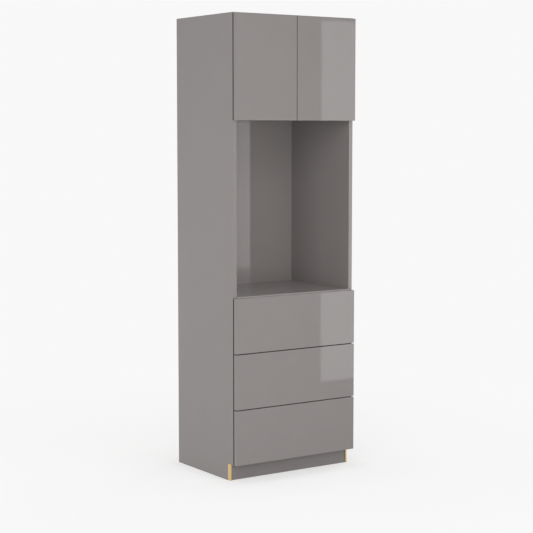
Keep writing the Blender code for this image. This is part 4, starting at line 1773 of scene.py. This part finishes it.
    def fit_stops(self) -> None:
        """Fits a plastic stop in the front end of each middle rail."""
        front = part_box(f"{self.name}_left_middle_rail")[0].y
        half = self.rail_half - 2 * self.step - self.steel
        stops = [block(f"{self.name}_{side.word}_stop",
                       (inside(side, self.near + FIT_GAP), front, self.runner_z - half),
                       (inside(side, self.web - FIT_GAP), front + self.stop_length, self.runner_z + half),
                       self.stop_rounding)
                 for side in Side]
        install(smooth(joined(f"{self.name}_runner_stops", stops)), self.carriage, Finishes.plunger)

    def cap(self, side: Side) -> Piece:
        """The oval cap that covers the front's fixing screws on one inner wall.

        Args:
            side: The cabinet's side.

        Returns:
            The object.
        """
        radius, straight = self.cap_height / 2, (self.cap_length - self.cap_height) / 2
        across = inside(side, self.wall_start + self.wall_width)
        back = self.low.y + self.cap_front
        up = self.low.z + (self.high.z - self.low.z) * self.cap_height_share
        outline = []
        for end, start_angle in ((1, -90), (-1, 90)):
            for step in range(self.cap_arc_steps + 1):
                angle = math.radians(start_angle + 180 * step / self.cap_arc_steps)
                outline.append((across, back + end * straight + radius * math.cos(angle),
                                up + radius * math.sin(angle)))
        return smooth(plate(f"{self.name}_{side.word}_cap", outline, side.inward * self.cap_proud),
                      self.cap_proud / 2, SMALL_EDGE_STEPS)


# The studio


@dataclass(frozen=True)
class StudioLight:
    """A soft rectangular light.

    Attributes:
        name: The light's name.
        place: Its middle.
        target: What it faces.
        width: Its width.
        height: Its height.
        radiance: How bright its surface is, where 1 is the brightness of a white page in plain light.
        card: Whether it is only a bright card for gloss to mirror; the others light the cabinet unmirrored.
    """

    name: str
    place: tuple[float, float, float]
    target: tuple[float, float, float]
    width: float
    height: float
    radiance: float
    card: bool = False

    def build(self) -> None:
        """Makes the lamp."""
        data = bpy.data.lights.new(self.name, "AREA")
        data.shape = "RECTANGLE"
        data.size = self.width
        data.size_y = self.height
        data.energy = self.radiance * math.pi * self.width * self.height
        lamp = bpy.data.objects.new(self.name, data)
        lamp.location = self.place
        lamp.rotation_euler = (Vector(self.target) - Vector(self.place)).to_track_quat("-Z", "Y").to_euler()
        lamp.visible_camera = False
        lamp.visible_glossy = self.card
        lamp.visible_diffuse = not self.card
        bpy.context.scene.collection.objects.link(lamp)
        logger.info("light %s", self.name)


@dataclass
class Studio:
    """The pale floor and surroundings, the lights and the camera.

    Attributes:
        backdrop: Colour of the background.
        floor_reach: Half the floor's size.
        floor_colour: Colour of the floor's own surface.
        floor_roughness: Its roughness; it doesn't shine.
        footprint: Half the cabinet's width and depth.
        shadow_shares: Shares of the floor's look that come from light and so keep the shadow, each with the
            distance from the cabinet at which it has faded out.
        floor_level: How bright the lit floor is without the cabinet's shadow; the rest makes up for it.
        ambient: Brightness of the surroundings as a light.
        camera_place: Where the camera stands.
        camera_yaw: Its heading, in degrees from +Y towards +X.
        camera_pitch: How far it looks down, in degrees.
        camera_lens: Focal length in millimetres.
        camera_sensor: Width of the sensor in millimetres.
        camera_shift: Vertical shift of the frame.
        lights: The lights.
    """

    backdrop: Colour = (0.944, 0.940, 0.940)
    floor_reach: float = 30.0
    floor_colour: Colour = (0.82, 0.82, 0.82)
    floor_roughness: float = 0.9
    footprint: tuple[float, float] = (0.300, 0.228)
    shadow_shares: tuple[tuple[float, float], ...] = ((0.34, 0.10), (0.22, 0.45), (0.26, 2.2))
    floor_level: float = 0.62
    ambient: float = 0.18
    camera_place: tuple[float, float, float] = (-3.41517, -5.06243, 1.42408)
    camera_yaw: float = 34.024
    camera_pitch: float = 5.108
    camera_lens: float = 97.357
    camera_sensor: float = 36
    camera_shift: float = -0.012
    lights: tuple[StudioLight, ...] = (
        StudioLight("mirrored_card", (2.01, -1.85, 1.027), (2.01, 0.0, 1.027), 1.4, 2.006, 1.62, card=True),
        StudioLight("niche_card", (1.04, -1.85, 1.045), (1.04, 0.0, 1.045), 0.36, 0.88, 1.3, card=True),
        StudioLight("front_left_wall", (-3.0, -3.0, 1.9), (0.0, 0.0, 1.9), 4.0, 3.8, 2.5),
        StudioLight("front_window", (0.45, -2.5, 1.0), (0.0, 0.0, 1.0), 2.2, 1.2, 1.75),
        StudioLight("left_window", (-2.0, 0.7, 0.7), (-0.3, 0.1, 0.7), 1.2, 1.0, 1.65),
        StudioLight("high_front", (0.0, -3.2, 3.8), (0.0, 0.0, 0.9), 6.0, 2.4, 0.6),
        StudioLight("right_wall", (3.4, 0.7, 1.3), (0.0, 0.1, 1.1), 3.4, 2.4, 2.1),
        StudioLight("rear_wall", (-0.6, 3.6, 1.5), (0.0, 0.0, 1.1), 4.2, 2.6, 1.3),
    )

    def build(self) -> None:
        """Builds the stage, the lights and the camera."""
        self.build_floor()
        self.build_world()
        for light in self.lights:
            light.build()
        self.build_camera()
        bpy.context.scene.view_settings.view_transform = "Standard"

    def seen(self, graph: Graph) -> Value:
        """1 for what the camera sees straight on, in gloss or through glass; 0 for light on the object."""
        rays = graph.add("ShaderNodeLightPath")
        return rays["Is Camera Ray"].most(rays["Is Glossy Ray"]).most(rays["Is Transmission Ray"])

    def build_floor(self) -> None:
        """Builds the floor, which takes the cabinet's shadow and fades into the background."""
        work = bmesh.new()
        bmesh.ops.create_grid(work, x_segments=1, y_segments=1, size=self.floor_reach)
        floor = new_piece("studio_floor", work)
        material = bpy.data.materials.new("studio_floor")
        material.use_nodes = True
        graph = SurfaceGraph(material.node_tree)
        graph.surface({"Base Color": self.floor_colour, "Roughness": self.floor_roughness,
                       "Specular IOR Level": 0.0})
        lit = Value(graph, graph.tree.nodes["Principled BSDF"].outputs["BSDF"])
        across, back, _ = graph.axes()
        beside, beyond = ((abs(axis) - half).most(0) for axis, half in zip((across, back), self.footprint))
        distance = (beside * beside + beyond * beyond).root()
        share = sum(part * distance.rise(reach, 0) for part, reach in self.shadow_shares)
        strength = (1 - share * (self.floor_level / self.backdrop[0])) / (1 - share)
        plain = graph.add("ShaderNodeEmission", None, {"Color": self.backdrop, "Strength": strength})
        look = graph.add("ShaderNodeMixShader", None, {0: share, 1: plain["Emission"], 2: lit})["Shader"]
        both = graph.add("ShaderNodeMixShader", None, {0: self.seen(graph), 1: lit, 2: look})["Shader"]
        graph.feed(graph.tree.nodes["Material Output"].inputs["Surface"], both)
        floor.data.materials.append(material)

    def build_world(self) -> None:
        """Makes the surroundings: soft light for the object, and the plain background where they are seen."""
        world = bpy.data.worlds.new("studio")
        world.use_nodes = True
        world.node_tree.nodes.clear()
        graph = Graph(world.node_tree)
        light, view = (
            graph.add("ShaderNodeBackground", None, {"Color": colour, "Strength": strength})["Background"]
            for colour, strength in (((1, 1, 1), self.ambient), (self.backdrop, 1.0)))
        both = graph.add("ShaderNodeMixShader", None, {0: self.seen(graph), 1: light, 2: view})["Shader"]
        graph.add("ShaderNodeOutputWorld", None, {"Surface": both})
        bpy.context.scene.world = world

    def build_camera(self) -> None:
        """Sets up the camera at the photograph's angle."""
        data = bpy.data.cameras.new("camera")
        data.lens = self.camera_lens
        data.sensor_width = self.camera_sensor
        data.shift_y = self.camera_shift
        camera = bpy.data.objects.new("camera", data)
        camera.location = self.camera_place
        camera.rotation_euler = (math.radians(90 - self.camera_pitch), 0, -math.radians(self.camera_yaw))
        bpy.context.scene.collection.objects.link(camera)
        bpy.context.scene.camera = camera


def main() -> None:
    """Builds the studio and dresses the cabinet."""
    logging.basicConfig(level=logging.INFO, format="%(message)s")
    Studio().build()
    screws, steel_work = ScrewHeads(), FoldedSteel()
    Carcass(screws).build()
    for side in Side:
        Door(side, screws).build()
        PushLatch(side, screws).build()
    for tier in Tier:
        Drawer(tier, steel_work, screws).build()


if __name__ == "__main__":
    main()
